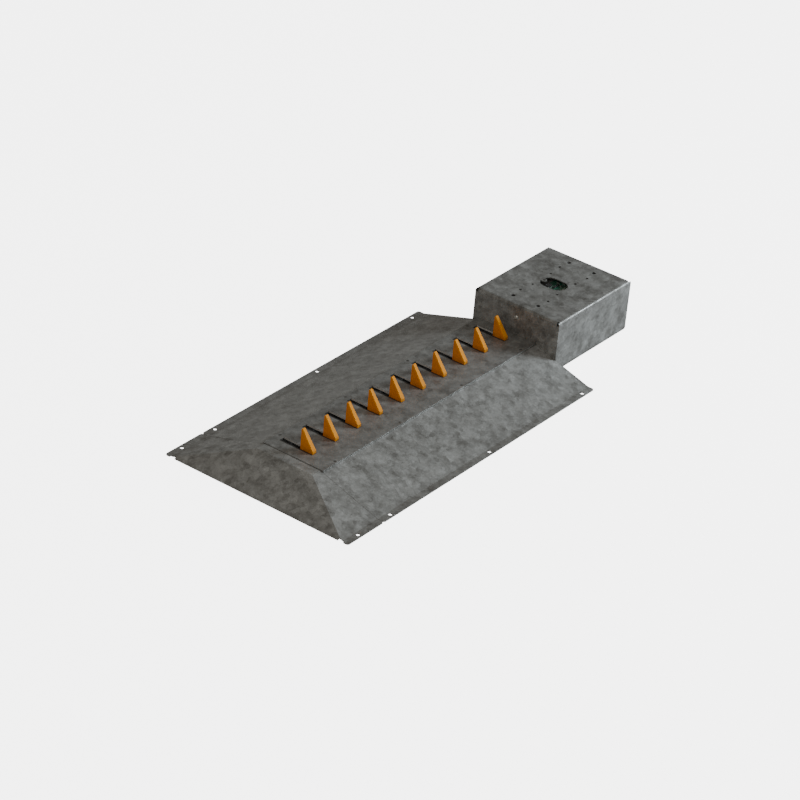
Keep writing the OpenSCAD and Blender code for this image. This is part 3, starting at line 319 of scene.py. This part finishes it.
def slot_light_and_shade(n, place):
    """Masks of the deck's slots: painted shade in and around them, and a painted highlight on their cut
    walls.

    Painted shade covers the cut walls, rings each spike's foot as a painted contact shadow and lies along
    each slot's side towards the end piece. The long walls that face the end piece get no painted shade and
    are painted bright as if lit, and the walls at the slots' far ends get half the painted shade.
    """
    first, second = (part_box(name)[0].x for name in SPIKES[:2])
    middle = sum(corner.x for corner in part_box(SPIKES[0])) / 2
    half_step = (second - first) / 2
    steps = n.math("FLOORED_MODULO", n.math("SUBTRACT", place["X"], middle - half_step), 2 * half_step)
    across = n.math("SUBTRACT", steps, half_step)
    past_near = n.math("SUBTRACT", SLOT_ENDS[0], place["Y"])
    past_far = n.math("SUBTRACT", place["Y"], SLOT_ENDS[1])
    past_ends = n.math("MAXIMUM", past_near, past_far)
    outside = n.math("MAXIMUM", n.math("SUBTRACT", n.math("ABSOLUTE", across), SLOT_HALF), past_ends)

    feet = n.math("LESS_THAN", place["Y"], FEET_END)
    # Painted contact shade ringing each spike's foot
    foot = n.math("MULTIPLY", n.math("MULTIPLY", n.fade(outside, *FOOT_SHADE), feet), 0.6)
    # Painted shade along each slot's side towards the end piece
    between_ends = n.math("LESS_THAN", past_ends, 0.0)
    beside = n.math("MULTIPLY", n.math("LESS_THAN", across, -SLOT_HALF), between_ends)
    side_shade = n.math("MULTIPLY", n.math("MULTIPLY", n.fade(outside, *SIDE_SHADE), beside), 0.9)

    # Painted shade on the cut walls: half on the far end walls, none on the long walls facing the end piece,
    # which are painted bright as if lit
    facing = n.axes(n.add("ShaderNodeNewGeometry").outputs["Normal"])
    long_wall = n.math("LESS_THAN", facing["X"], -0.5)
    end_wall = n.math("MULTIPLY", n.math("LESS_THAN", facing["Y"], -0.5), 0.5)
    cut = n.math("LESS_THAN", outside, 0.1 * MM)
    unshaded = n.math("MULTIPLY", cut, n.math("MAXIMUM", long_wall, end_wall))
    dirt_and_shade = n.math("MAXIMUM", n.math("MAXIMUM", foot, side_shade), n.math("SUBTRACT", cut, unshaded))
    return dirt_and_shade, n.math("MULTIPLY", cut, long_wall)


def galvanised(name, groups, light, dark, cells, contrast=0.64, grime=0.5, joint=0.0, slots=False):
    """Galvanised steel with road grime; where asked for, dirt along the end piece's joint, and painted shade
    and painted light in and at the deck's slots.
    """
    material, n, shader = new_material(name)
    coat = place_group(
        n, groups["zinc"], Light=(*light, 1), Dark=(*dark, 1), Cells=cells, Contrast=contrast
    )
    dirt_and_shade = place_group(n, groups["grime"], Reach=0.08, Amount=grime, Patch=26.0)["Mask"]
    place = n.axes(n.place())
    if joint:
        off = n.math("ABSOLUTE", n.math("SUBTRACT", place["X"], JOINT_X))
        dirt_and_shade = n.math("MAXIMUM", dirt_and_shade, n.math("MULTIPLY", n.fade(off, *JOINT_DIRT), joint))
    if slots:
        # Painted shade in and by the slots, and a painted highlight on their walls facing the end piece
        slot_shade, painted_lit_wall = slot_light_and_shade(n, place)
        dirt_and_shade = n.math("MAXIMUM", dirt_and_shade, slot_shade)
    # On the deck, the road grime and the painted shade share one dark colour
    skin = n.mix(dirt_and_shade, coat["Color"], DECK_SOIL_AND_SHADE if slots else ROAD_SOIL)
    if slots:
        skin = n.mix(painted_lit_wall, skin, PAINTED_LIT_ZINC)
    n.link(skin, shader.inputs["Base Color"])
    rough = n.math("ADD", coat["Roughness"], n.math("MULTIPLY", dirt_and_shade, 0.35), clamp=True)
    n.link(rough, shader.inputs["Roughness"])
    shader.inputs["Metallic"].default_value = 0.4
    bump(n, shader, coat["Height"], 0.25, 0.4 * MM)
    return material


def plain_finish(name, groups, base, deep, rough, metallic, scale=500.0, stretch=(1, 1, 1), strength=0.12,
                 depth=0.2 * MM, coat=0.0):
    """Base and deep colour mixed by a fine grain, with a little dust."""
    material, n, shader = new_material(name)
    grain = place_group(n, groups["grain"], Scale=scale, Stretch=stretch, Spread=0.15)
    dust = place_group(n, groups["grime"], Reach=0.09, Amount=0.15, Patch=45.0)["Mask"]
    tone = n.ramp(grain["Shade"], 0.35, 0.65)
    n.link(n.mix(dust, n.mix(tone, deep, base), (0.07, 0.06, 0.05)), shader.inputs["Base Color"])
    n.link(n.math("ADD", grain["Roughness"], rough, clamp=True), shader.inputs["Roughness"])
    shader.inputs["Metallic"].default_value = metallic
    shader.inputs["Coat Weight"].default_value = coat
    bump(n, shader, grain["Height"], strength, depth)
    return material


def board_mask(name, groups):
    """Green solder mask over bundles of copper tracks, with rows of plated pads."""
    material, n, shader = new_material(name)
    place = n.place()
    along, across = (
        n.add("ShaderNodeTexWave", {"Vector": place}, bands_direction=way, Scale=150.0, Distortion=0.0)
        for way in "XY"
    )
    # Each block of the board has its tracks one way or the other, or none, and some have pads
    blocks = n.add(
        "ShaderNodeTexVoronoi", {"Vector": place}, distance="CHEBYCHEV", Scale=55.0, Randomness=0.8
    )
    turned, tracked, padded = n.add("ShaderNodeSeparateColor", {"Color": blocks.outputs["Color"]}).outputs
    way = n.math("GREATER_THAN", turned, 0.5)
    waves = n.add("ShaderNodeMix", {0: way, 2: along.outputs["Fac"], 3: across.outputs["Fac"]}).outputs[0]
    tracks = n.math("MULTIPLY", n.math("GREATER_THAN", waves, 0.55), n.math("LESS_THAN", tracked, 0.7))
    pads = n.add("ShaderNodeTexVoronoi", {"Vector": place}, Scale=260.0, Randomness=0.1)
    dot = n.math("LESS_THAN", pads.outputs["Distance"], 0.26)
    plated = n.math("MULTIPLY", dot, n.math("GREATER_THAN", padded, 0.62))
    grain = place_group(n, groups["grain"], Scale=900.0, Spread=0.1)
    mask = n.mix(n.ramp(grain["Shade"], 0.3, 0.7), (0.006, 0.055, 0.032), (0.012, 0.09, 0.055))
    lit = n.mix(tracks, mask, (0.035, 0.17, 0.11))
    n.link(n.mix(plated, lit, (0.62, 0.58, 0.50)), shader.inputs["Base Color"])
    n.link(n.math("MULTIPLY", plated, 0.8), shader.inputs["Metallic"])
    n.link(n.math("ADD", grain["Roughness"], 0.3), shader.inputs["Roughness"])
    bump(n, shader, tracks, 0.2, 0.1 * MM)
    return material


def spike_paint(name, groups):
    """Orange paint, with a painted highlight of lighter orange along the spikes' leading edge and heel, and
    painted shade near the deck.
    """
    looks = bpy.context.scene.strip_spikes
    material, n, shader = new_material(name)
    place = n.axes(n.place())
    # Distance from the slanted leading edge, in the plane across the strip, and from the upright heel
    (y0, z0), (y1, z1) = SPIKE_HEEL, SPIKE_TIP
    run, rise = y1 - y0, z1 - z0
    span = (run * run + rise * rise) ** 0.5
    across = n.math("MULTIPLY", n.math("SUBTRACT", place["Y"], y0), -rise / span)
    out = n.math("ADD", across, n.math("MULTIPLY", n.math("SUBTRACT", place["Z"], z0), run / span))
    slant = n.ramp(out, -6 * MM, -1.5 * MM)
    heel = n.ramp(n.math("SUBTRACT", y0, place["Y"]), -3 * MM, -0.5 * MM)

    grain = place_group(n, groups["grain"], Scale=300.0, Spread=0.15)
    tone = n.ramp(grain["Shade"], 0.3, 0.7)
    paint, highlight_paint = tuple(looks.paint), tuple(looks.highlight_paint)
    highlight_grain = n.math("ADD", n.math("MULTIPLY", tone, 0.3), 0.7)
    # Painted highlight: lighter orange along the leading edge and the heel
    front = n.math("MULTIPLY", n.math("MAXIMUM", slant, heel), highlight_grain)
    shade = n.mix(front, n.mix(tone, dimmed(paint, 0.85), paint), highlight_paint)
    patch = n.ramp(n.noise(n.place(), 90.0, 4.0), 0.3, 0.7)
    # Painted shade: darker in patches towards the deck
    dirt_and_shade = n.math("MULTIPLY", n.math("MULTIPLY", n.fade(place["Z"], *SPIKE_SHADE), patch), 0.55, clamp=True)
    n.link(n.mix(dirt_and_shade, shade, (0.05, 0.03, 0.015)), shader.inputs["Base Color"])
    n.link(n.math("ADD", grain["Roughness"], 0.48, clamp=True), shader.inputs["Roughness"])
    shader.inputs["Specular IOR Level"].default_value = 0.08
    bump(n, shader, grain["Height"], 0.06, 0.2 * MM)
    return material


def can_sleeve(name, groups):
    """Dark blue sleeve with a bare metal top."""
    material, n, shader = new_material(name)
    grain = place_group(n, groups["grain"], Scale=700.0, Spread=0.1)
    tone = n.ramp(grain["Shade"], 0.35, 0.65)
    sleeve_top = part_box("circuit_board")[1].z + (CAN_SIZE[1] - CAN_BARE) * MM
    top = n.math("GREATER_THAN", n.axes(n.place())["Z"], sleeve_top)
    sleeve = n.mix(tone, (0.02, 0.026, 0.06), (0.03, 0.04, 0.09))
    n.link(n.mix(top, sleeve, (0.6, 0.6, 0.6)), shader.inputs["Base Color"])
    n.link(top, shader.inputs["Metallic"])
    n.link(n.math("ADD", grain["Roughness"], 0.35), shader.inputs["Roughness"])
    return material


# The galvanised coats: how light their light and their dark crystals are, and what else sets them apart
COATS = {
    "galvanised_steel": (1.0, 1.0, {}),
    "galvanised_ramp": (1.0, 1.0, dict(contrast=0.6, grime=0.3, joint=0.38)),
    "galvanised_far": (1.0, 1.0, dict(contrast=0.42, grime=0.3, joint=0.38)),
    # The inner frame's coat is dimmed as painted shade, so that the inside seen through the slots reads dark
    "galvanised_shaded_inner": (0.6, 0.55, dict(grime=0.6)),
    "galvanised_cover": (0.86, 0.8, {}),
    "galvanised_deck": (0.8, 0.8, dict(contrast=0.5, grime=0.3, slots=True)),
}
# The plain finishes: base colour, deep colour, roughness, how metallic, and what sets their grain apart
PLAIN_FINISHES = {
    "black_oxide_steel": ((0.2, 0.2, 0.19), (0.12, 0.12, 0.115), 0.5, 0.4, {}),
    "zinc_plated_steel": ((0.55, 0.55, 0.53), (0.38, 0.38, 0.36), 0.32, 0.9, {}),
    "machined_steel": (
        (0.42, 0.43, 0.44), (0.28, 0.29, 0.3), 0.28, 1.0, dict(scale=900, stretch=(0.15, 1, 1)),
    ),
    "bronze": ((0.55, 0.33, 0.12), (0.38, 0.22, 0.08), 0.38, 1.0, {}),
    "cast_housing": (
        (0.14, 0.18, 0.22), (0.09, 0.12, 0.15), 0.55, 0.1, dict(scale=260, strength=0.35, depth=0.5 * MM),
    ),
    "plain_steel": ((0.30, 0.31, 0.32), (0.19, 0.19, 0.2), 0.45, 0.8, {}),
    "motor_paint": ((0.08, 0.10, 0.12), (0.05, 0.065, 0.08), 0.42, 0.0, dict(coat=0.2)),
    "black_plastic": ((0.03, 0.03, 0.03), (0.015, 0.015, 0.015), 0.5, 0.0, dict(scale=1200, strength=0.2)),
    "brass_barrel": ((0.66, 0.50, 0.20), (0.5, 0.36, 0.13), 0.28, 1.0, {}),
    "components": ((0.035, 0.035, 0.037), (0.02, 0.02, 0.021), 0.42, 0.0, dict(scale=1500)),
    "core_steel": ((0.17, 0.12, 0.085), (0.11, 0.08, 0.06), 0.5, 0.3, {}),
    "resistor_body": ((0.6, 0.58, 0.5), (0.4, 0.38, 0.33), 0.4, 0.2, dict(scale=1500)),
    "terminal_green": ((0.05, 0.34, 0.13), (0.035, 0.25, 0.09), 0.4, 0.0, {}),
}


def make_materials():
    """Makes every finish and gives them by name."""
    looks = bpy.context.scene.strip_sheets
    groups = {"zinc": zinc_group(), "grime": grime_group(), "grain": grain_group()}
    light, dark = tuple(looks.zinc_light), tuple(looks.zinc_dark)
    made = {name: make(name, groups) for name, make in (
        ("orange_paint", spike_paint), ("board_green", board_mask), ("can_sleeve", can_sleeve),
    )}
    for name, (light_share, dark_share, more) in COATS.items():
        shades = dimmed(light, light_share), dimmed(dark, dark_share)
        made[name] = galvanised(name, groups, *shades, cells=1 / looks.spangle, **more)
    for name, (base, deep, rough, metallic, more) in PLAIN_FINISHES.items():
        made[name] = plain_finish(name, groups, base, deep, rough, metallic, **more)
    return made


# ---- modelling helpers ----

# Corners nearer than WELD are one. In degrees, faces that differ by less than FLAT are one, an edge is
# rounded from BENT on, is shaded sharp from SHARP on, and is a cut edge and no bend from CUT on
WELD, FLAT, BENT, SHARP, CUT = 0.02 * MM, 0.8, 10, 35, 75


def deselect():
    """Leaves edit mode with nothing selected."""
    if bpy.context.object and bpy.context.object.mode != "OBJECT":
        bpy.ops.object.mode_set(mode="OBJECT")
    bpy.ops.object.select_all(action="DESELECT")


def activate(obj):
    """Selects one object alone."""
    deselect()
    obj.select_set(True)
    bpy.context.view_layer.objects.active = obj


def edit(obj):
    """Goes into edit mode with everything selected."""
    activate(obj)
    bpy.ops.object.mode_set(mode="EDIT")
    bpy.ops.mesh.select_all(action="SELECT")


def done():
    """Leaves edit mode."""
    bpy.ops.object.mode_set(mode="OBJECT")


def settle(obj):
    """Puts the object at the origin with its place in its mesh, its flat faces shaded flat."""
    activate(obj)
    bpy.ops.object.transform_apply(location=True, rotation=True, scale=True)
    bpy.ops.object.shade_smooth_by_angle(angle=radians(SHARP))
    normals = obj.modifiers.new("Flat faces", "WEIGHTED_NORMAL")
    normals.keep_sharp, normals.weight = True, 90
    bpy.ops.object.modifier_apply(modifier=normals.name)


def finish_piece(obj, name, body, slot, *replaced, material=None):
    """Names and settles a piece, gives it its material, by default its slot's, and ties it to its body."""
    obj.name = obj.data.name = name
    settle(obj)
    obj.data.materials.clear()
    obj.data.materials.append(bpy.data.materials[material or slot])
    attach(obj, body)
    if replaced:
        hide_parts(*replaced)
    return obj


def soft_copy(node, name, bend, edge, segments=3, material=None, chosen=None):
    """A copy of a CAD node, its bends rounded by bend and its cut edges by edge, or only the chosen ones."""
    source = NODES[node]
    copy = source.copy()
    copy.data = source.data.copy()
    copy.parent = None
    copy.matrix_world = Matrix.Identity(4)
    for key in [k for k in copy.keys() if k.startswith("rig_")]:
        del copy[key]
    bpy.context.scene.collection.objects.link(copy)
    copy.hide_render = copy.hide_viewport = False
    edit(copy)
    bpy.ops.mesh.remove_doubles(threshold=WELD)
    bpy.ops.mesh.dissolve_limited(angle_limit=radians(FLAT), use_dissolve_boundaries=False)
    bpy.ops.mesh.normals_make_consistent(inside=False)
    done()

    mesh = bmesh.new()
    mesh.from_mesh(copy.data)
    layer = mesh.edges.layers.float.new("bevel_weight_edge")
    wide = max(bend, edge)
    for item in mesh.edges:
        if len(item.link_faces) != 2 or chosen and not chosen(item):
            continue
        angle = abs(item.calc_face_angle(0.0))
        if angle > radians(CUT):
            item[layer] = edge / wide
        elif angle > radians(BENT):
            item[layer] = bend / wide
    mesh.to_mesh(copy.data)
    mesh.free()
    modifier = copy.modifiers.new("Rounded", "BEVEL")
    modifier.limit_method, modifier.width, modifier.segments = "WEIGHT", wide, segments
    modifier.use_clamp_overlap = True
    activate(copy)
    bpy.ops.object.modifier_apply(modifier=modifier.name)
    return finish_piece(copy, name, BODY[node], MATERIAL_SLOT[node], node, material=material)


def raw_box(low, size):
    """A plain block to cut pieces from, its place in its mesh."""
    deselect()
    middle = [a + b / 2 for a, b in zip(low, size)]
    bpy.ops.mesh.primitive_cube_add(size=1, location=middle)
    block = bpy.context.object
    block.scale = size
    bpy.ops.object.transform_apply(location=True, rotation=True, scale=True)
    return block


def raw_cylinder(centre, radius, height, vertices):
    """A plain cylinder about the middle of its height, its place in its mesh."""
    deselect()
    bpy.ops.mesh.primitive_cylinder_add(vertices=vertices, radius=radius, depth=height, location=centre)
    bpy.ops.object.transform_apply(location=True, rotation=True, scale=True)
    return bpy.context.object


def faces_facing(obj, direction):
    """Goes into edit mode with only the faces that face that way selected."""
    activate(obj)
    for face in obj.data.polygons:
        face.select = face.normal.dot(Vector(direction)) > 0.9
    for edge in obj.data.edges:
        edge.select = False
    for vertex in obj.data.vertices:
        vertex.select = False
    bpy.ops.object.mode_set(mode="EDIT")
    bpy.ops.mesh.select_mode(type="FACE")


def push(x, y, z):
    """Extrudes the selected faces."""
    bpy.ops.mesh.extrude_region_move(TRANSFORM_OT_translate={"value": (x, y, z)})


def sink(obj, direction, border, depth):
    """Insets the faces that face that way and moves them inwards, or outwards by a depth below 0."""
    faces_facing(obj, direction)
    bpy.ops.mesh.inset(thickness=border)
    push(*(-depth * v for v in direction))
    done()


def bevel_all(obj, width, segments=2):
    """Rounds every edge."""
    edit(obj)
    bpy.ops.mesh.bevel(offset=width, segments=segments, affect="EDGES")
    done()


def split_at(obj, points, direction):
    """Cuts new rings of edges into the whole mesh."""
    edit(obj)
    for point in points:
        bpy.ops.mesh.select_all(action="SELECT")
        bpy.ops.mesh.bisect(plane_co=point, plane_no=direction)
    done()


def join(parts):
    """Makes several pieces one."""
    deselect()
    for part in parts:
        part.select_set(True)
    bpy.context.view_layer.objects.active = parts[0]
    bpy.ops.object.join()
    return parts[0]


# ---- circuit board components ----

# Place from the board's near left corner and size of each component, in millimetres
RELAYS = (
    ((12, 14), (15, 19, 8)), ((12, 38), (15, 19, 8)), ((12, 60), (15, 19, 8)), ((118, 14), (14, 14, 5)),
    ((60, 73), (20, 15, 6)),
)
CHIPS = (((44, 42), (28, 9, 3)), ((50, 58), (14, 14, 2)), ((72, 60), (28, 8, 3)))
CRYSTALS = (((106, 66), (4.5, 11, 3.5)), ((92, 50), (11, 4.5, 3.5)), ((112, 50), (4.5, 11, 3.5)))
CANS = [((45 + 14 * k, 28), CAN_SIZE) for k in range(3)]
RESISTORS = [((78 + 7 * i, 33 + 4 * k), (3.2, 1.6, 0.6)) for i in range(6) for k in range(3)]
TERMINALS = [((37.5 + 6 * k, 2), (6, 9, 8)) for k in range(14)]
LEG_PITCH = 2.5 * MM


def on_board(at, size):
    """A component's foot on the board and its size, in metres."""
    low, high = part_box("circuit_board")
    return (low.x + at[0] * MM, low.y + at[1] * MM, high.z), tuple(v * MM for v in size)


def relay(low, size):
    """A sealed relay: rounded case with a sunk label field."""
    case = raw_box(low, size)
    sink(case, (0, 0, 1), 1.6 * MM, 0.35 * MM)
    bevel_all(case, 0.3 * MM)
    return case


def chip(low, size):
    """A chip body with bent legs along its two long sides."""
    x, y, z = low
    w, d, h = size
    body = raw_box((x, y + 1.2 * MM, z + 0.4 * MM), (w, d - 2.4 * MM, h - 0.4 * MM))
    bevel_all(body, 0.25 * MM, 1)
    legs = [body]
    leg_w, leg_l, leg_t = 0.5 * MM, 1.2 * MM, 0.3 * MM
    count = int(w / LEG_PITCH) - 1
    for k in range(count):
        leg_x = x + w / 2 + (k - (count - 1) / 2) * LEG_PITCH - leg_w / 2
        for side, way in ((y + 0.2 * MM, -1), (y + d - 1.4 * MM, 1)):
            leg = raw_box((leg_x, side, z + 0.9 * MM), (leg_w, leg_l, leg_t))
            faces_facing(leg, (0, way, 0))
            push(0, way * 0.2 * MM, -0.85 * MM)
            done()
            legs.append(leg)
    return join(legs)


def crystal(low, size):
    """A crystal can: round-ended case with a ring under its foot and a raised lid."""
    case = raw_box(low, size)
    faces_facing(case, (0, 0, -1))
    bpy.ops.mesh.inset(thickness=0.6 * MM, use_outset=False)
    bpy.ops.mesh.select_all(action="DESELECT")
    done()
    for edge in case.data.edges:
        a, b = (case.data.vertices[i].co for i in edge.vertices)
        edge.select = abs(a.z - b.z) > size[2] * 0.8
    bpy.ops.object.mode_set(mode="EDIT")
    bpy.ops.mesh.select_mode(type="EDGE")
    bpy.ops.mesh.bevel(offset=min(size[:2]) * 0.42, segments=6, affect="EDGES")
    done()
    sink(case, (0, 0, 1), 0.35 * MM, -0.25 * MM)
    return case


def resistor(low, size):
    """A chip resistor: its ends stand a little above its body."""
    body = raw_box(low, size)
    split_at(body, [(low[0] + size[0] * at, 0, 0) for at in (0.2, 0.8)], (1, 0, 0))
    for vertex in body.data.vertices:
        if vertex.co.z > low[2] + size[2] / 2 and 0.1 < (vertex.co.x - low[0]) / size[0] < 0.9:
            vertex.co.z -= 0.12 * size[2]
    bevel_all(body, 0.06 * MM, 1)
    return body


def capacitor(foot, size):
    """A can capacitor: rolled neck near its foot and a sunk top."""
    x, y, z = foot
    radius, height = size
    can = raw_cylinder((x, y, z + height / 2), radius, height, 36)
    sink(can, (0, 0, 1), radius * 0.12, 0.3 * MM)
    split_at(can, [(x, y, z + height * at) for at in (0.16, 0.2, 0.26, 0.3)], (0, 0, 1))
    for vertex in can.data.vertices:
        if 0.18 < (vertex.co.z - z) / height < 0.28:
            vertex.co.x = x + (vertex.co.x - x) * 0.92
            vertex.co.y = y + (vertex.co.y - y) * 0.92
    return can


def terminal(low, size):
    """One way of a terminal block: wire mouth in front, clamp screw with a sunk head on top."""
    x, y, z = low
    w, d, h = size
    body = raw_box(low, size)
    sink(body, (0, -1, 0), 0.9 * MM, 2.5 * MM)
    screw = raw_cylinder((x + w / 2, y + d * 0.6, z + h + 0.2 * MM), 1.7 * MM, 0.8 * MM, 20)
    sink(screw, (0, 0, 1), 0.35 * MM, 0.3 * MM)
    return body, screw


# ---- stage ----

# The floor lies a hair below the object, so that the two never flicker into each other
FLOOR_SIZE, FLOOR_DROP = 60, 0.4 * MM
# The ground painted dark as a shadow under the strip and its housing: middle X and Y, half length, half width
SHADOWED_GROUND = ((-0.14, 0.0, 0.52, 0.304), (0.57, -0.028, 0.19, 0.148))
# Each lamp's name, place, target, size, share of the key light's power and colour
LAMPS = (
    ("key", (4.0, -3.2, 2.8), (0.1, 0, 0), 1.8, 1.0, (0.87, 0.95, 1.0)),
    ("fill", (-3.5, -1.5, 3.5), (0, 0, 0), 3.0, 0.2, (1.0, 0.93, 0.84)),
    ("under", (0, 0, -3.0), (0, 0, 0), 2.0, 0.08, (1, 1, 1)),
)
SKY_TINT, SKY_STRENGTH = (1.0, 0.93, 0.83, 1), 0.17
# Where the photograph was taken from, in metres, and which way the camera's right, up and back point
CAMERA_PLACE = Vector((-6.77299, -4.65662, 4.83528))
CAMERA_ROWS = (
    (0.609774, -0.788542, 0.079861),
    (0.361301, 0.366239, 0.857514),
    (-0.705434, -0.494036, 0.508224),
)
CAMERA_LENS = 148.6


def floor_paint(looks):
    """Pale floor that reads white in the picture, with a painted shadow where the object covers it, and clear
    from below.
    """
    material, n, shader = new_material("floor_paint")
    shader.inputs["Roughness"].default_value = 0.9
    shader.inputs["Specular IOR Level"].default_value = 0.1
    shader.inputs["Emission Color"].default_value = (1, 1, 1, 1)
    place = n.axes(n.place())
    clear_of = []
    for x, y, half_x, half_y in SHADOWED_GROUND:
        along = n.math("GREATER_THAN", n.math("ABSOLUTE", n.math("SUBTRACT", place["X"], x)), half_x)
        across = n.math("GREATER_THAN", n.math("ABSOLUTE", n.math("SUBTRACT", place["Y"], y)), half_y)
        clear_of.append(n.math("MAXIMUM", along, across))
    unshadowed_floor = n.math("MINIMUM", *clear_of)
    seen = n.add("ShaderNodeLightPath").outputs["Is Camera Ray"]
    glow = n.math("MULTIPLY", unshadowed_floor, seen)
    n.link(n.math("MULTIPLY", glow, looks.glow), shader.inputs["Emission Strength"])
    # Painted shadow: near black under the object
    n.link(n.mix(unshadowed_floor, (0.02, 0.02, 0.02), tuple(looks.floor)), shader.inputs["Base Color"])
    # From below, and for the lamp under it, the floor is clear, so that the underside can be looked at
    from_below = n.add("ShaderNodeNewGeometry").outputs["Backfacing"]
    below = n.math("MAXIMUM", from_below, n.add("ShaderNodeLightPath").outputs["Is Shadow Ray"])
    clear = n.add("ShaderNodeBsdfTransparent").outputs[0]
    pick = n.add("ShaderNodeMixShader", {0: below, 1: shader.outputs[0], 2: clear})
    n.link(pick.outputs[0], material.node_tree.nodes["Material Output"].inputs["Surface"])
    return material


# ---- operators ----


class STRIP_OT_materials(bpy.types.Operator):
    """Makes the finishes and puts them on the CAD frame"""

    bl_idname = "strip.materials"
    bl_label = "Finishes"

    def execute(self, context):
        for plain in list(bpy.data.materials):
            bpy.data.materials.remove(plain)
        made = make_materials()
        for name, node in NODES.items():
            node.data.materials.clear()
            node.data.materials.append(made[MATERIAL_SLOT[name]])
        return {"FINISHED"}


class STRIP_OT_sheets(bpy.types.Operator):
    """Rounds the bends and edges of the ramps, the deck, the end piece and the cover"""

    bl_idname = "strip.sheets"
    bl_label = "Sheets"

    def execute(self, context):
        looks = context.scene.strip_sheets
        for node, coat in (
            ("ramp_near", "galvanised_ramp"), ("ramp_far", "galvanised_far"), ("end_ramp", "galvanised_ramp"),
        ):
            soft_copy(node, node.replace("_", "-") + "-sheet", looks.bend, looks.edge, material=coat)
        low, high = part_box("deck_plate")

        def on_long_side(edge):
            return all(not low.y + 1 * MM < v.co.y < high.y - 1 * MM for v in edge.verts)

        deck_edge = 2.2 * looks.edge
        soft_copy("deck_plate", "deck-sheet", deck_edge, deck_edge, chosen=on_long_side)
        soft_copy("housing_cover", "cover-sheet", looks.edge, looks.edge, material="galvanised_cover")
        return {"FINISHED"}


class STRIP_OT_frame(bpy.types.Operator):
    """Softens the cut edges of the rails, ribs, brackets and drive parts inside the unit"""

    bl_idname = "strip.frame"
    bl_label = "Inner frame and drive"

    def execute(self, context):
        edge = context.scene.strip_sheets.edge
        for node in (*INNER, *SOFTENED):
            # The inner frame gets the dimmed coat, painted shade
            coat = "galvanised_shaded_inner" if node in INNER else None
            soft_copy(node, node.replace("_", "-") + "-part", edge, edge, segments=2, material=coat)
        return {"FINISHED"}


class STRIP_OT_spikes(bpy.types.Operator):
    """Softens the edges of the spikes"""

    bl_idname = "strip.spikes"
    bl_label = "Spikes"

    def execute(self, context):
        edge = context.scene.strip_spikes.edge
        for node in SPIKES:
            soft_copy(node, node.replace("_", "-") + "-painted", edge, edge)
        return {"FINISHED"}


class STRIP_OT_board(bpy.types.Operator):
    """Models the components on the circuit board"""

    bl_idname = "strip.board"
    bl_label = "Board components"

    def execute(self, context):
        for name, make, rows, look, *replaced in (
            ("board-relays", relay, RELAYS, "components", "board_parts"),
            ("board-chips", chip, CHIPS, "components"),
            ("board-capacitors", capacitor, CANS, "can_sleeve"),
            ("board-crystals", crystal, CRYSTALS, "zinc_plated_steel"),
            ("board-resistors", resistor, RESISTORS, "resistor_body"),
        ):
            made = join([make(*on_board(*row)) for row in rows])
            finish_piece(made, name, "base", "components", *replaced, material=look)
        ways, screws = zip(*(terminal(*on_board(*row)) for row in TERMINALS))
        finish_piece(join(ways), "board-terminals", "base", "components", material="terminal_green")
        finish_piece(
            join(screws), "board-terminal-screws", "base", "components", material="zinc_plated_steel"
        )
        return {"FINISHED"}


class STRIP_OT_stage(bpy.types.Operator):
    """Builds the floor, the lights and the camera"""

    bl_idname = "strip.stage"
    bl_label = "Stage"

    def execute(self, context):
        looks = context.scene.strip_stage
        link = context.scene.collection.objects.link
        deselect()
        bpy.ops.mesh.primitive_plane_add(size=FLOOR_SIZE, location=(0, 0, -FLOOR_DROP))
        floor = context.object
        floor.name = "floor"
        floor.data.materials.append(floor_paint(looks))

        world = bpy.data.worlds.new("studio")
        world.use_nodes = True
        sky = world.node_tree.nodes["Background"].inputs
        sky["Color"].default_value, sky["Strength"].default_value = SKY_TINT, SKY_STRENGTH
        context.scene.world = world

        for name, place, target, size, share, tint in LAMPS:
            data = bpy.data.lights.new(name, "AREA")
            data.shape, data.size, data.energy, data.color = "SQUARE", size, looks.key * share, tint
            light = bpy.data.objects.new(name, data)
            light.location = place
            light.rotation_euler = (Vector(target) - Vector(place)).to_track_quat("-Z", "Y").to_euler()
            link(light)

        camera = bpy.data.objects.new("camera", bpy.data.cameras.new("camera"))
        camera.data.sensor_width, camera.data.lens = 36.0, CAMERA_LENS
        camera.data.clip_end = 100
        turn = Matrix(CAMERA_ROWS).transposed().to_4x4()
        camera.matrix_world = Matrix.Translation(CAMERA_PLACE) @ turn
        link(camera)
        context.scene.camera = camera
        return {"FINISHED"}


OPERATORS = (
    STRIP_OT_materials,
    STRIP_OT_sheets,
    STRIP_OT_frame,
    STRIP_OT_spikes,
    STRIP_OT_board,
    STRIP_OT_stage,
)
GROUPS = (
    ("strip_sheets", StripSheetLooks),
    ("strip_spikes", StripSpikeLooks),
    ("strip_stage", StripStageLooks),
)


class STRIP_PT_looks(bpy.types.Panel):
    """Lists the pieces and the stage"""

    bl_idname = "STRIP_PT_looks"
    bl_label = "Spike strip"
    bl_space_type = "VIEW_3D"
    bl_region_type = "UI"
    bl_category = "Spike strip"

    def draw(self, context):
        for operator in OPERATORS:
            self.layout.operator(operator.bl_idname)
        for name, group in GROUPS:
            box = self.layout.box()
            for key in group.__annotations__:
                box.prop(getattr(context.scene, name), key)


CLASSES = (*(group for _, group in GROUPS), *OPERATORS, STRIP_PT_looks)


def register():
    for cls in CLASSES:
        bpy.utils.register_class(cls)
    for name, group in GROUPS:
        setattr(bpy.types.Scene, name, PointerProperty(type=group))


def unregister():
    for name, _ in GROUPS:
        delattr(bpy.types.Scene, name)
    for cls in reversed(CLASSES):
        bpy.utils.unregister_class(cls)


def main():
    register()
    bpy.ops.strip.materials()
    bpy.ops.strip.sheets()
    bpy.ops.strip.frame()
    bpy.ops.strip.spikes()
    bpy.ops.strip.board()
    bpy.ops.strip.stage()


if __name__ == "__main__":
    main()
